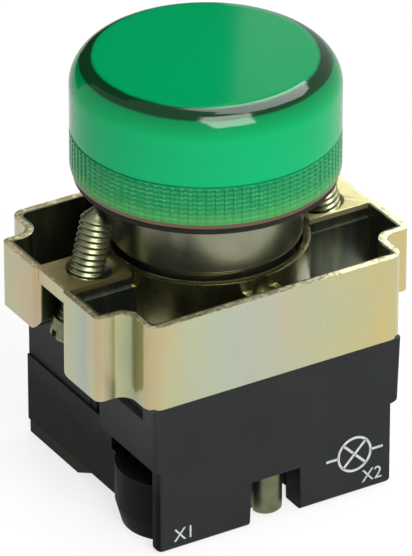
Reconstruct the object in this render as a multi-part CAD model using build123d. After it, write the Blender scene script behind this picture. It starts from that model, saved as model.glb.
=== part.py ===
from build123d import *
import math
import os

# Panel pilot light for a 22 mm hole, in millimetres. It stands on the feet of its wiring block with the
# lens up. X runs along the collar's long side, Y from the marked front face to the back.
# Heights are measured from the collar's rim: plus is towards the lens, minus towards the feet. Each
# finished piece is raised by FOOT_DEPTH, so that the feet stand at zero.

# Clearances and allowances
SEAT_GAP = 0.05            # between flat faces that bear on each other
FREE_GAP = 0.3             # round what turns or slides freely
THREAD_CLEARANCE = 0.06
JOIN = 0.1                 # overlap of two volumes that become one piece
OVER = 1.0                 # how far a cutter runs past the face that it opens
NEAR = 0.01                # tolerance when an edge or corner is picked by its place
HEAD_BEVEL = 0.3           # on the heads of the screws
THREAD_BEVEL = 0.4         # on the ends of the threads

# Collar: one pressed and folded piece
COLLAR_LENGTH = 40.2
TAB_WIDTH = 21.0
MAIN_LENGTH = 32.6
MAIN_WIDTH = 30.8
SKIRT_WALL = 1.0
SKIRT_BEND = 1.7           # outer radius of the four main corners and of the bends beside them
TAB_CORNER = 0.9
SKIRT_DEPTH = 10.35
SHORT_TAB_DEPTH = 7.9      # two of the four tabs end higher
SHORT_TAB_START = 0.35     # the short tabs' edge begins this far past the main corner
TAB_FOOT_R = 1.6           # round lower corners of the tabs, beside the slot
SLOT_HALF = 2.6            # half of the clear slot in each end
SLOT_BEND = 0.95
EAR_HALF = 3.3
EAR_THICKNESS = 1.7
EAR_INSET = 0.35
RING_WALL = 0.85
RING_DEPTH = 7.0
LIP_HEIGHT = 1.4
LIP_REACH = 0.45
LIP_ARC = 100.0
BOSS_WIDTH = 4.4
BOSS_TOP = 1.3

# Clamp screws
CLAMP_TILT = 14.5
CLAMP_STANDOFF = 4.5       # from the barrel's side out to where the screw's axis crosses the rim
CLAMP_R = 1.95
CLAMP_TIP_GAP = 0.3        # from the tip up to the panel gasket
CLAMP_TIP_R = 0.15
CLAMP_CONE = 1.5
CLAMP_NECK_R = 1.5
CLAMP_HEAD_R = 2.4
CLAMP_HEAD_HEIGHT = 2.3
CLAMP_HEAD_FOOT = 8.1      # underside of the head, below the rim
HOLE_FLARE = 0.9

# Head
BARREL_R = 10.75
BARREL_FOOT = 0.7
BARREL_EDGE = 0.35
GASKET_BOTTOM = 8.0
GASKET_THICKNESS = 0.75
GASKET_INSET = 0.35        # the gasket and the flange lie inside the lens by these two
FLANGE_INSET = 0.15
FLANGE_THICKNESS = 1.0
CROWN_HEIGHT = 3.85
CROWN_WALL = 1.5
NECK_GAP = 0.8             # between the neck and the collar's ring
NECK_WALL = 1.05
NECK_DEPTH = 8.6
LUG_HEIGHT = 1.1
LUG_ARC = 60.0
LUG_GAP = 0.1
LUG_ROOT = 0.3

# Lens, its ring and the cup under it
LENS_R = 15.0
LENS_HEIGHT = 12.9
LENS_DOME = 0.25
LENS_EDGE = 3.6
LENS_ROOF = 2.2
LENS_WALL = 2.8
LENS_SKIRT = 1.7           # wall of the lens outside its thread
LENS_BORE_BEVEL = 0.8
KNURL_HEIGHT = 4.1
KNURL_COUNT = 60
KNURL_WIDTH = 0.4
KNURL_DEPTH = 0.28
BAND_GROOVE = 0.3
LENS_RING_POCKET = 1.5
LENS_RING_INSET = 1.0
LENS_RING_HEIGHT = 0.9
DIFFUSER_GAP = 0.6         # between the cup and the lens's bore
DIFFUSER_FLANGE = 0.8
DIFFUSER_WALL = 0.9
DIFFUSER_EDGE = 1.5

# Lamp and its socket
LAMP_SEAT = 10.0           # foot of the lamp, below the rim
LAMP_HEADROOM = 1.3        # from the lamp up to the cup
LAMP_CAP_LENGTH = 14.0
LAMP_CAP_R = 4.5
LAMP_GLASS_R = 4.9
LAMP_FOOT_CONE = 0.6
LAMP_SHOULDER = 0.6
LAMP_BUTTON_R = 1.3
LAMP_BUTTON_HEIGHT = 0.4
LAMP_PIN_R = 1.0
LAMP_PIN_REACH = 0.95
LAMP_PIN_RISE = 7.3        # above the foot of the lamp
SOCKET_GAP = 0.35
SOCKET_WALL = 0.45
SOCKET_TOP = 2.0
SOCKET_TAIL = 3.6          # of the socket, below the insulator's top
SOCKET_SLOT_GAP = 0.3
SOCKET_SLOT_TURN = 28.0
INSULATOR_DROP = 2.0       # from the lamp's foot down to the insulator
INSULATOR_HEIGHT = 4.0
INSULATOR_POCKET = 3.0
CONTACT_HEAD_R = 2.2
CONTACT_HEAD = 0.9
CONTACT_BEVEL = 0.3
CONTACT_STEM_R = 0.8
CONTACT_FOOT_R = 1.4
CONTACT_FOOT = 0.4
CONTACT_TRAVEL = 1.0
SPRING_WIRE_R = 0.2
SPRING_TURNS = 5
SPRING_INSET = 0.45        # from the edge of the contact's head in to the middle of the wire

# Wiring block, upper shell
BLOCK_HEIGHT = 18.4
BLOCK_BACK_INSET = 0.2     # the back lies this far inside the collar's
BLOCK_SIDE_INSET = 0.25    # so do the two sides of the wide front part
BLOCK_SHOULDER = 2.0       # step in to the narrower back part
BLOCK_STEP_Y = -3.5        # where the wide front part ends
UPPER_HEIGHT = 8.1
BLOCK_WALL = 1.3
BLOCK_ROOF = 1.5
BLOCK_DRAFT = 0.3
BLOCK_CHAMFER = 0.9
BLOCK_CHAMFER_RISE = 0.35
BLOCK_CORNER = 0.5
APRON_LEFT_INSET = 0.7
APRON_RIGHT_INSET = 1.4
APRON_CORNER = 0.8
RECESS_HEIGHT = 2.0        # grip recess along the top of each side
RECESS_DEPTH = 0.8
RECESS_START = 2.2         # behind the front face
RECESS_LENGTH = 7.0
NOTCH_X = -0.25
NOTCH_WIDTH = 6.3
NOTCH_FLARE = 0.5
NOTCH_HEIGHT = 5.65
NOTCH_BEHIND = 2.6         # how far the notch reaches in past the screw's axis
NOTCH_RIB = 1.2            # wall of the ribs at the notch's two sides
NOTCH_RIB_DEPTH = 3.3      # from the front face back
TURRET_GAP = 0.7
TURRET_WALL = 1.6
TURRET_TOP = 0.5
TURRET_BORE_DEPTH = 9.0
SLEEVE_STEP = 1.1          # the socket stands out below its sleeve by this much
LATCH_WIDTH = 1.2
LATCH_Y = 0.9              # middle of the latch
LATCH_RISE = 1.2
LATCH_ROOM = 0.8           # open part of the window in front of the latch
LATCH_INSET = 0.1          # the latch's face lies this far inside the upper shell's

# Wiring block, lower shell
BASE_LEDGE = 0.25          # the lower shell is this much wider than the upper one's back part
BASE_CAVITY_FRONT = -2.6
FOOT_HEIGHT = 1.8
FOOT_START = 4.5
FOOT_RAMP = 3.7
FOOT_GROOVE = 0.25
FOOT_ROOT = 0.5            # how deep the foot is rooted in the shell's floor
TERMINAL_SIDE = 6.25       # from the block's side to a terminal's axis
TERMINAL_FRONT = 6.7       # from the block's front to a terminal's axis
TERMINAL_BARREL_R = 6.2
TERMINAL_BARREL_FOOT_R = 5.5
TERMINAL_TAPER = 2.6
WIRE_OPENING = 2.9         # clear height over the barrel's rim
TERMINAL_CHAMBER = 7.4
TERMINAL_LEDGE = 1.4       # from the clamp plate down to the ledge round the driver hole
TERMINAL_DRIVER_R = 3.3
SHELF_DEPTH = 3.0          # of the pocket between the terminals, under the strips

# Terminals
PLATE_DROP = 0.4           # from the parting down to the plates
PLATE_THICKNESS = 1.0
PLATE_SIZE = 6.8
STRIP_WIDTH = 3.0
STRIP_THICKNESS = 0.6
TERMINAL_SCREW_R = 1.7
TERMINAL_SCREW_OUT = 2.3   # the screw stands out above its plate
TERMINAL_HEAD_R = 2.9
TERMINAL_HEAD = 2.1
TERMINAL_OPEN = 2.3        # room for the wire under the plate
CLAMP_PLATE = 6.6
CLAMP_PLATE_THICKNESS = 1.0
CLAMP_PLATE_LIP = 0.5
DRIVER_SLOT = 0.9
DRIVER_SLOT_DEPTH = 1.0

# Screws that hold the block to the collar
BLOCK_SCREW_INSET = 2.7    # the axis lies this far inside the collar's front and back
BLOCK_SCREW_R = 1.45
BLOCK_SCREW_TOP = 2.4
BLOCK_SCREW_HEAD_R = 1.9
BLOCK_SCREW_SINK = 0.25    # from the notch's top down to the head
BLOCK_SCREW_RISE = 0.15    # of the head above the feet
SCREW_COLUMN_R = 2.5
SCREW_COLUMN_SHIFT = 0.9   # the column stands this much nearer the middle than its screw

# Radii and plan sizes that follow from the sizes above
CLAMP_X = BARREL_R + CLAMP_STANDOFF
RING_BORE_R = BARREL_R
RING_OUTER_R = RING_BORE_R + RING_WALL
NECK_R = RING_BORE_R - NECK_GAP
BARREL_BORE_R = NECK_R - NECK_WALL
LENS_THREAD_R = LENS_R - LENS_SKIRT
LENS_BORE_R = LENS_R - LENS_WALL
LENS_RING_R = LENS_R - LENS_RING_INSET
FLANGE_R = LENS_R - FLANGE_INSET
GASKET_R = LENS_R - GASKET_INSET
CROWN_R = LENS_THREAD_R - FREE_GAP
DIFFUSER_R = LENS_BORE_R - DIFFUSER_GAP
SOCKET_R = LAMP_CAP_R + SOCKET_GAP + SOCKET_WALL
TURRET_BORE_R = SOCKET_R + TURRET_GAP
TURRET_R = TURRET_BORE_R + TURRET_WALL
INSULATOR_POCKET_R = CONTACT_HEAD_R + 2 * SPRING_WIRE_R
SPRING_R = CONTACT_HEAD_R - SPRING_INSET
BLOCK_FRONT = MAIN_WIDTH / 2
BLOCK_BACK = MAIN_WIDTH / 2 - BLOCK_BACK_INSET
BLOCK_FRONT_HALF = MAIN_LENGTH / 2 - BLOCK_SIDE_INSET
BLOCK_BACK_HALF = BLOCK_FRONT_HALF - BLOCK_SHOULDER
BASE_HALF = BLOCK_BACK_HALF + BASE_LEDGE
APRON_LEFT = BLOCK_FRONT_HALF - APRON_LEFT_INSET
APRON_RIGHT = BLOCK_FRONT_HALF - APRON_RIGHT_INSET
TERMINAL_X = BLOCK_FRONT_HALF - TERMINAL_SIDE
TERMINAL_Y = TERMINAL_FRONT - BLOCK_FRONT
BLOCK_SCREW_Y = MAIN_WIDTH / 2 - BLOCK_SCREW_INSET

# Heights above the rim that follow
CLAMP_TIP_TOP = GASKET_BOTTOM - CLAMP_TIP_GAP
FLANGE_BOTTOM = GASKET_BOTTOM + GASKET_THICKNESS
FLANGE_TOP = FLANGE_BOTTOM + FLANGE_THICKNESS
CROWN_TOP = FLANGE_TOP + CROWN_HEIGHT
LENS_FOOT = FLANGE_TOP + SEAT_GAP
LENS_TOP = LENS_FOOT + LENS_HEIGHT
LENS_STEP = CROWN_TOP + DIFFUSER_FLANGE + 2 * SEAT_GAP
DIFFUSER_TOP = LENS_TOP - LENS_ROOF - FREE_GAP
LAMP_TOP = DIFFUSER_TOP - DIFFUSER_WALL - LAMP_HEADROOM
LAMP_FOOT = -LAMP_SEAT

# Depths below the rim that follow
INSULATOR_TOP = LAMP_SEAT + INSULATOR_DROP
INSULATOR_FOOT = INSULATOR_TOP + INSULATOR_HEIGHT
SOCKET_FOOT = INSULATOR_TOP + SOCKET_TAIL
SOCKET_SLEEVE_FOOT = SOCKET_FOOT - SLEEVE_STEP
BLOCK_TOP = SKIRT_DEPTH + SEAT_GAP
BLOCK_PARTING = BLOCK_TOP + UPPER_HEIGHT
BASE_TOP = BLOCK_PARTING + SEAT_GAP
FOOT_DEPTH = BLOCK_TOP + BLOCK_HEIGHT
BASE_FLOOR = FOOT_DEPTH - FOOT_HEIGHT
NOTCH_TOP = FOOT_DEPTH - NOTCH_HEIGHT
PLATE_TOP = BLOCK_PARTING + PLATE_DROP
PLATE_FOOT = PLATE_TOP + PLATE_THICKNESS
CLAMP_PLATE_TOP = PLATE_FOOT + TERMINAL_OPEN
TERMINAL_SCREW_TOP = PLATE_TOP - TERMINAL_SCREW_OUT
TERMINAL_CHAMBER_FLOOR = CLAMP_PLATE_TOP + CLAMP_PLATE_THICKNESS + TERMINAL_LEDGE
TERMINAL_BARREL_TOP = BLOCK_PARTING + WIRE_OPENING
BLOCK_SCREW_HEAD_TOP = NOTCH_TOP + BLOCK_SCREW_SINK
BLOCK_SCREW_HEAD_FOOT = FOOT_DEPTH - BLOCK_SCREW_RISE


def save(shape, node):
    """Raises the finished piece on to its feet and writes it."""
    export_step(shape.moved(Location((0, 0, FOOT_DEPTH))), os.path.join("parts", node + ".step"))


def turned(points):
    """A solid of revolution about the head's axis from (radius, height) points."""
    outline = make_face(Polyline(*[(r, 0, z) for r, z in points], close=True))
    return revolve(outline, Axis.Z, 360)


def pillar(radius, bottom, top, x=0.0, y=0.0):
    """An upright cylinder between two heights."""
    return Pos(x, y, (bottom + top) / 2) * Cylinder(radius, top - bottom)


def slab(x_low, x_high, y_low, y_high, z_low, z_high):
    """A box between its six faces."""
    centre = ((x_low + x_high) / 2, (y_low + y_high) / 2, (z_low + z_high) / 2)
    return Pos(*centre) * Box(x_high - x_low, y_high - y_low, z_high - z_low)


def wedge(radius, arc, middle, bottom, top):
    """A sector of a cylinder, arc degrees wide round the direction middle."""
    start = math.radians(middle - arc / 2)
    end = math.radians(middle + arc / 2)
    mid = math.radians(middle)
    rim = ThreePointArc(
        (radius * math.cos(start), radius * math.sin(start)),
        (radius * math.cos(mid), radius * math.sin(mid)),
        (radius * math.cos(end), radius * math.sin(end)),
    )
    outline = make_face([Line((0, 0), rim @ 0), rim, Line(rim @ 1, (0, 0))])
    return Pos(0, 0, bottom) * extrude(outline, top - bottom, dir=(0, 0, 1))


def corner_arc(radius, top, edge):
    """Quarter circle of radius edge, from the upright side at radius over to the flat face at top."""
    lean = edge * (1 - math.sin(math.pi / 4))
    return ThreePointArc((radius, 0, top - edge), (radius - lean, 0, top - lean), (radius - edge, 0, top))


def skirt_outline():
    """Plan of the collar's outside: a long tabbed rectangle across a shorter wide one, all bends round."""
    plan = Rectangle(MAIN_LENGTH, MAIN_WIDTH) + Rectangle(COLLAR_LENGTH, TAB_WIDTH)
    others = [v for v in plan.vertices() if abs(v.X) < COLLAR_LENGTH / 2 - NEAR]
    tab = (COLLAR_LENGTH - MAIN_LENGTH) / 2
    shoulder = (MAIN_WIDTH - TAB_WIDTH) / 2
    plan = fillet(others, min(SKIRT_BEND, 0.49 * shoulder, 0.6 * tab))
    ends = [v for v in plan.vertices() if abs(v.X) > COLLAR_LENGTH / 2 - NEAR]
    return fillet(ends, min(TAB_CORNER, 0.35 * tab))


def tab_foot_cutter(side, row, foot):
    """Cutter for the round lower corner of one tab, beside the slot."""
    low = row * (SLOT_HALF - OVER)
    high = row * (SLOT_HALF + TAB_FOOT_R)
    start = side * RING_OUTER_R
    end = side * (COLLAR_LENGTH / 2 + OVER)
    block = slab(min(start, end), max(start, end), min(low, high), max(low, high),
                 -foot - OVER, -foot + TAB_FOOT_R)
    rod = Pos(0, high, -foot + TAB_FOOT_R) * Rot(0, 90, 0) * Cylinder(TAB_FOOT_R, 3 * COLLAR_LENGTH)
    return block - rod


def make_collar():
    end_x = COLLAR_LENGTH / 2
    return_outer = SLOT_HALF + SKIRT_WALL
    outside = skirt_outline()
    inside = offset(outside, -SKIRT_WALL)
    plan = outside - inside
    for side in (-1, 1):
        for row in (-1, 1):
            wall = Pos(side * (end_x + RING_BORE_R) / 2, row * (SLOT_HALF + SKIRT_WALL / 2))
            plan += wall * Rectangle(end_x - RING_BORE_R, SKIRT_WALL)
        plan -= Pos(side * end_x, 0) * Rectangle(2 * (SKIRT_WALL + JOIN), 2 * SLOT_HALF)
    lips = [v for v in plan.vertices()
            if abs(abs(v.X) - end_x) < NEAR and abs(abs(v.Y) - SLOT_HALF) < NEAR]
    plan = fillet(lips, SLOT_BEND)
    skirt = extrude(plan, -SKIRT_DEPTH)

    # The fold walls under the ears stop at the ear, short of the end wall
    for side in (-1, 1):
        low = side * (end_x - SKIRT_WALL)
        skirt -= slab(min(0, low), max(0, low), -return_outer - NEAR, return_outer + NEAR,
                      -EAR_THICKNESS, OVER)
    # Two tabs, at opposite corners, end higher
    main_x = MAIN_LENGTH / 2 + SHORT_TAB_START
    for side in (-1, 1):
        low = side * main_x
        high = side * (end_x + OVER)
        inner = side * RING_OUTER_R
        skirt -= slab(min(low, high), max(low, high), min(0, -side * TAB_WIDTH), max(0, -side * TAB_WIDTH),
                      -SKIRT_DEPTH - OVER, -SHORT_TAB_DEPTH)
        skirt -= slab(min(inner, high), max(inner, high), min(0, -side * (return_outer + NEAR)),
                      max(0, -side * (return_outer + NEAR)), -SKIRT_DEPTH - OVER, -SHORT_TAB_DEPTH)

        # The lower corners beside the slot are round
        for row in (-1, 1):
            foot = SHORT_TAB_DEPTH if row == -side else SKIRT_DEPTH
            skirt -= tab_foot_cutter(side, row, foot)

    ring = pillar(RING_OUTER_R, -RING_DEPTH, 0)
    ears = slab(-end_x + EAR_INSET, end_x - EAR_INSET, -EAR_HALF, EAR_HALF, -EAR_THICKNESS, 0)
    boss_half = BOSS_WIDTH / 2
    wall_middle = (MAIN_WIDTH - SKIRT_WALL) / 2
    bosses = [slab(-boss_half, boss_half, min(row * RING_BORE_R, row * wall_middle),
                   max(row * RING_BORE_R, row * wall_middle), -SKIRT_DEPTH, -BOSS_TOP)
              for row in (-1, 1)]
    collar = skirt + ring + ears + bosses[0] + bosses[1]
    collar -= pillar(RING_BORE_R, -SKIRT_DEPTH - OVER, OVER)

    # Two inner lips hold the head's lugs
    lip_ring = pillar(RING_BORE_R + RING_WALL / 2, -RING_DEPTH, -RING_DEPTH + LIP_HEIGHT)
    lip_ring -= pillar(RING_BORE_R - LIP_REACH, -RING_DEPTH - OVER, 0)
    for middle in (0, 180):
        collar += lip_ring & wedge(RING_OUTER_R, LIP_ARC, middle, -RING_DEPTH, 0)

    for row in (-1, 1):
        hole_r = BLOCK_SCREW_R + THREAD_CLEARANCE
        collar -= pillar(hole_r, -SKIRT_DEPTH - OVER, 0, 0, row * BLOCK_SCREW_Y)
    for side in (-1, 1):
        drill = Location((side * CLAMP_X, 0, 0), (0, -side * CLAMP_TILT, 0))
        collar -= drill * Cylinder(CLAMP_R + THREAD_CLEARANCE, 4 * EAR_THICKNESS)
        flare_top = CLAMP_R + HOLE_FLARE + OVER
        collar -= drill * Pos(0, 0, (OVER - HOLE_FLARE) / 2) * Cone(CLAMP_R, flare_top, HOLE_FLARE + OVER)
    return collar


def driver_slot(radius, foot):
    """The cutter for a screwdriver slot across a head whose underside is at height foot."""
    return Pos(0, 0, foot + DRIVER_SLOT_DEPTH / 2) * Box(3 * radius, DRIVER_SLOT, DRIVER_SLOT_DEPTH)


def make_clamp_screw(side):
    """Pointed screw, built upright with the rim crossing at zero, then leaned inwards at the top."""
    stretch = 1 / math.cos(math.radians(CLAMP_TILT))
    tip = CLAMP_TIP_TOP * stretch
    foot = -CLAMP_HEAD_FOOT * stretch
    head_top = foot + CLAMP_HEAD_HEIGHT
    bevel = HEAD_BEVEL
    screw = turned([
        (0, foot), (CLAMP_HEAD_R - bevel, foot), (CLAMP_HEAD_R, foot + bevel), (CLAMP_HEAD_R, head_top),
        (CLAMP_R, head_top), (CLAMP_R, tip - CLAMP_CONE - THREAD_BEVEL), (CLAMP_NECK_R, tip - CLAMP_CONE),
        (CLAMP_TIP_R, tip), (0, tip),
    ])
    screw -= driver_slot(CLAMP_HEAD_R, foot)
    return Location((side * CLAMP_X, 0, 0), (0, -side * CLAMP_TILT, 0)) * screw


def make_head_barrel():
    crown_bore = CROWN_R - CROWN_WALL
    barrel = turned([
        (BARREL_BORE_R, -NECK_DEPTH), (NECK_R, -NECK_DEPTH), (NECK_R, BARREL_FOOT),
        (BARREL_R - BARREL_EDGE, BARREL_FOOT), (BARREL_R, BARREL_FOOT + BARREL_EDGE),
        (BARREL_R, FLANGE_BOTTOM), (FLANGE_R, FLANGE_BOTTOM), (FLANGE_R, FLANGE_TOP),
        (CROWN_R, FLANGE_TOP), (CROWN_R, CROWN_TOP), (crown_bore, CROWN_TOP),
        (crown_bore, FLANGE_TOP), (BARREL_BORE_R, FLANGE_BOTTOM),
    ])
    lug_r = RING_BORE_R - LUG_GAP
    lug_ring = pillar(lug_r, -NECK_DEPTH, -NECK_DEPTH + LUG_HEIGHT)
    lug_ring -= pillar(NECK_R - LUG_ROOT, -NECK_DEPTH - OVER, 0)
    for middle in (0, 180):
        barrel += lug_ring & wedge(RING_OUTER_R, LUG_ARC, middle, -NECK_DEPTH, 0)
    return barrel


def make_panel_gasket():
    gasket = pillar(GASKET_R, GASKET_BOTTOM, FLANGE_BOTTOM - SEAT_GAP)
    return gasket - pillar(BARREL_R + SEAT_GAP, GASKET_BOTTOM - OVER, FLANGE_BOTTOM + OVER)


def make_lens_cap():
    knurl_top = LENS_FOOT + KNURL_HEIGHT
    dome_top = LENS_TOP - LENS_DOME
    roof = LENS_TOP - LENS_ROOF
    pocket_r = LENS_RING_R + FREE_GAP
    corner = LENS_R - LENS_EDGE
    edge = corner_arc(LENS_R, dome_top, LENS_EDGE)
    dome_r = (corner ** 2 + LENS_DOME ** 2) / (2 * LENS_DOME)
    halfway = LENS_TOP - dome_r + math.sqrt(dome_r ** 2 - (corner / 2) ** 2)
    crown = ThreePointArc((corner, 0, dome_top), (corner / 2, 0, halfway), (0, 0, LENS_TOP))
    rest = Polyline(
        (0, 0, LENS_TOP), (0, 0, roof), (LENS_BORE_R - LENS_BORE_BEVEL, 0, roof),
        (LENS_BORE_R, 0, roof - LENS_BORE_BEVEL),
        (LENS_BORE_R, 0, LENS_STEP), (LENS_THREAD_R, 0, LENS_STEP),
        (LENS_THREAD_R, 0, LENS_FOOT + LENS_RING_POCKET), (pocket_r, 0, LENS_FOOT + LENS_RING_POCKET),
        (pocket_r, 0, LENS_FOOT), (LENS_R, 0, LENS_FOOT),
        (LENS_R, 0, knurl_top - BAND_GROOVE / 2), (LENS_R - BAND_GROOVE, 0, knurl_top),
        (LENS_R, 0, knurl_top + BAND_GROOVE / 2), (LENS_R, 0, dome_top - LENS_EDGE),
    )
    cap = revolve(make_face([edge, crown, rest]), Axis.Z, 360)
    groove_height = KNURL_HEIGHT - BAND_GROOVE
    cutter = Box(2 * KNURL_DEPTH, KNURL_WIDTH, groove_height)
    groove = Pos(LENS_R, 0, LENS_FOOT + groove_height / 2) * cutter
    step = 360 / KNURL_COUNT
    grooves = [Rot(0, 0, step * n + step / 2) * groove for n in range(KNURL_COUNT)]
    return cap - grooves


def make_lens_ring():
    bottom = FLANGE_TOP + SEAT_GAP
    ring = pillar(LENS_RING_R, bottom, bottom + LENS_RING_HEIGHT)
    return ring - pillar(LENS_THREAD_R, bottom - OVER, bottom + LENS_RING_HEIGHT + OVER)


def make_diffuser():
    bottom = CROWN_TOP + SEAT_GAP
    top = DIFFUSER_TOP
    inner_r = DIFFUSER_R - DIFFUSER_WALL
    flange_r = (CROWN_R + LENS_BORE_R) / 2
    outer = corner_arc(DIFFUSER_R, top, DIFFUSER_EDGE)
    inner = corner_arc(inner_r, top - DIFFUSER_WALL, DIFFUSER_EDGE - DIFFUSER_WALL)
    shelf = bottom + DIFFUSER_FLANGE
    side = Polyline(inner @ 0, (inner_r, 0, bottom), (flange_r, 0, bottom), (flange_r, 0, shelf),
                    (DIFFUSER_R, 0, shelf), outer @ 0)
    roof = Polyline(outer @ 1, (0, 0, top), (0, 0, top - DIFFUSER_WALL), inner @ 1)
    return revolve(make_face([side, outer, roof, inner]), Axis.Z, 360)


def make_lamp():
    cap_foot = LAMP_FOOT + LAMP_BUTTON_HEIGHT + LAMP_FOOT_CONE
    cap_top = LAMP_FOOT + LAMP_CAP_LENGTH
    dome = corner_arc(LAMP_GLASS_R, LAMP_TOP, LAMP_GLASS_R)
    rest = Polyline(
        (0, 0, LAMP_TOP), (0, 0, LAMP_FOOT), (LAMP_BUTTON_R, 0, LAMP_FOOT),
        (LAMP_BUTTON_R, 0, LAMP_FOOT + LAMP_BUTTON_HEIGHT),
        (LAMP_CAP_R - LAMP_FOOT_CONE, 0, cap_foot), (LAMP_CAP_R, 0, cap_foot), (LAMP_CAP_R, 0, cap_top),
        (LAMP_GLASS_R, 0, cap_top + LAMP_SHOULDER), dome @ 0,
    )
    lamp = revolve(make_face([dome, rest]), Axis.Z, 360)
    pin_z = LAMP_FOOT + LAMP_PIN_RISE
    pins = Pos(0, 0, pin_z) * Rot(90, 0, 0) * Cylinder(LAMP_PIN_R, 2 * (LAMP_CAP_R + LAMP_PIN_REACH))
    return lamp + pins


def make_socket():
    """Plain shell with a bayonet slot on each side: down, round, and up a little to where the pin sits."""
    shell = pillar(SOCKET_R, -SOCKET_FOOT, SOCKET_TOP)
    shell -= pillar(SOCKET_R - SOCKET_WALL, -SOCKET_FOOT - OVER, SOCKET_TOP + OVER)
    pin_z = LAMP_FOOT + LAMP_PIN_RISE
    half = LAMP_PIN_R + SOCKET_SLOT_GAP
    low = pin_z - CONTACT_TRAVEL - half
    lane = 2 * half / SOCKET_R * 180 / math.pi
    for middle in (90, 270):
        start = middle - SOCKET_SLOT_TURN
        shell -= wedge(SOCKET_R + OVER, lane, middle, low, pin_z + half)
        shell -= wedge(SOCKET_R + OVER, lane, start, low, SOCKET_TOP + OVER)
        shell -= wedge(SOCKET_R + OVER, SOCKET_SLOT_TURN, middle - SOCKET_SLOT_TURN / 2, low, pin_z)
    return shell


def make_insulator():
    radius = SOCKET_R - SOCKET_WALL - SEAT_GAP
    return turned([
        (CONTACT_STEM_R + FREE_GAP, -INSULATOR_FOOT), (radius, -INSULATOR_FOOT), (radius, -INSULATOR_TOP),
        (INSULATOR_POCKET_R, -INSULATOR_TOP), (INSULATOR_POCKET_R, -INSULATOR_TOP - INSULATOR_POCKET),
        (CONTACT_STEM_R + FREE_GAP, -INSULATOR_TOP - INSULATOR_POCKET),
    ])


def contact_heights():
    """Top and underside of the contact's head, then top and underside of its foot."""
    head_top = LAMP_FOOT - FREE_GAP
    foot_top = -INSULATOR_FOOT - SEAT_GAP - STRIP_THICKNESS - FREE_GAP
    return head_top, head_top - CONTACT_HEAD, foot_top, foot_top - CONTACT_FOOT


def make_contact():
    head_top, head_foot, foot_top, foot = contact_heights()
    bevel = CONTACT_BEVEL
    return turned([
        (0, foot), (CONTACT_FOOT_R, foot), (CONTACT_FOOT_R, foot_top), (CONTACT_STEM_R, foot_top),
        (CONTACT_STEM_R, head_foot), (CONTACT_HEAD_R, head_foot), (CONTACT_HEAD_R, head_top - bevel),
        (CONTACT_HEAD_R - bevel, head_top), (0, head_top),
    ])


def make_spring():
    head_top, head_foot, foot_top, foot = contact_heights()
    bottom = -INSULATOR_TOP - INSULATOR_POCKET + SPRING_WIRE_R + SEAT_GAP
    height = head_foot - SPRING_WIRE_R - SEAT_GAP - bottom
    path = Helix(height / SPRING_TURNS, height, SPRING_R)
    section = Plane(path @ 0, z_dir=path % 0) * Circle(SPRING_WIRE_R)
    return Pos(0, 0, bottom) * sweep(section, path, is_frenet=True)


def make_terminal_plate(side):
    """Brass pad over the wire, an arm along it and a riser to the socket."""
    pad_half = PLATE_SIZE / 2
    arm_in = SOCKET_R + SEAT_GAP
    arm_out = arm_in + STRIP_WIDTH
    reach = STRIP_WIDTH / 2
    pad = slab(-TERMINAL_X - pad_half, -TERMINAL_X + pad_half, TERMINAL_Y - pad_half, TERMINAL_Y + pad_half,
               -PLATE_FOOT, -PLATE_TOP)
    arm = slab(-arm_out, -arm_in, TERMINAL_Y, reach, -PLATE_FOOT, -PLATE_TOP)
    root = slab(-TERMINAL_X, -arm_in, TERMINAL_Y, TERMINAL_Y + pad_half, -PLATE_FOOT, -PLATE_TOP)
    plate = pad + arm + root
    plate -= pillar(TERMINAL_SCREW_R + THREAD_CLEARANCE, -PLATE_FOOT - OVER, 0, -TERMINAL_X, TERMINAL_Y)
    if side < 0:
        riser_top = -SOCKET_SLEEVE_FOOT - SEAT_GAP
        plate += slab(-arm_in - STRIP_THICKNESS, -arm_in, -reach, reach, -PLATE_FOOT, riser_top)
        return plate
    tongue_top = -INSULATOR_FOOT - SEAT_GAP
    tongue_foot = tongue_top - STRIP_THICKNESS
    plate += slab(-arm_out + STRIP_THICKNESS, -arm_out + 2 * STRIP_THICKNESS, -reach, reach,
                  -PLATE_FOOT, tongue_top)
    plate += slab(-arm_out + STRIP_THICKNESS, 2 * CONTACT_STEM_R, -reach, reach, tongue_foot, tongue_top)
    plate -= pillar(CONTACT_STEM_R + FREE_GAP, tongue_foot - OVER, tongue_top + OVER)
    return mirror(plate, Plane.YZ)


def make_wire_clamp(side):
    """Captive square plate, its two edges turned up a little so that the wire can't slip out."""
    half = CLAMP_PLATE / 2
    plate = Box(CLAMP_PLATE, CLAMP_PLATE, CLAMP_PLATE_THICKNESS)
    lip = CLAMP_PLATE_LIP
    lip_z = (CLAMP_PLATE_THICKNESS + lip) / 2
    for row in (-1, 1):
        plate += Pos(0, row * (half - lip / 2), lip_z) * Box(CLAMP_PLATE, lip, lip)
    plate -= Cylinder(TERMINAL_SCREW_R + THREAD_CLEARANCE, 3 * CLAMP_PLATE_THICKNESS)
    height = -CLAMP_PLATE_TOP - CLAMP_PLATE_THICKNESS / 2
    return Pos(side * TERMINAL_X, TERMINAL_Y, height) * plate


def make_terminal_screw(side):
    head_top = -CLAMP_PLATE_TOP - CLAMP_PLATE_THICKNESS - SEAT_GAP
    foot = head_top - TERMINAL_HEAD
    bevel = HEAD_BEVEL
    screw = turned([
        (0, foot), (TERMINAL_HEAD_R - bevel, foot), (TERMINAL_HEAD_R, foot + bevel),
        (TERMINAL_HEAD_R, head_top), (TERMINAL_SCREW_R, head_top),
        (TERMINAL_SCREW_R, -TERMINAL_SCREW_TOP - THREAD_BEVEL),
        (TERMINAL_SCREW_R - THREAD_BEVEL, -TERMINAL_SCREW_TOP),
        (0, -TERMINAL_SCREW_TOP),
    ])
    screw -= driver_slot(TERMINAL_HEAD_R, foot)
    return Pos(side * TERMINAL_X, TERMINAL_Y, 0) * screw


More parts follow.
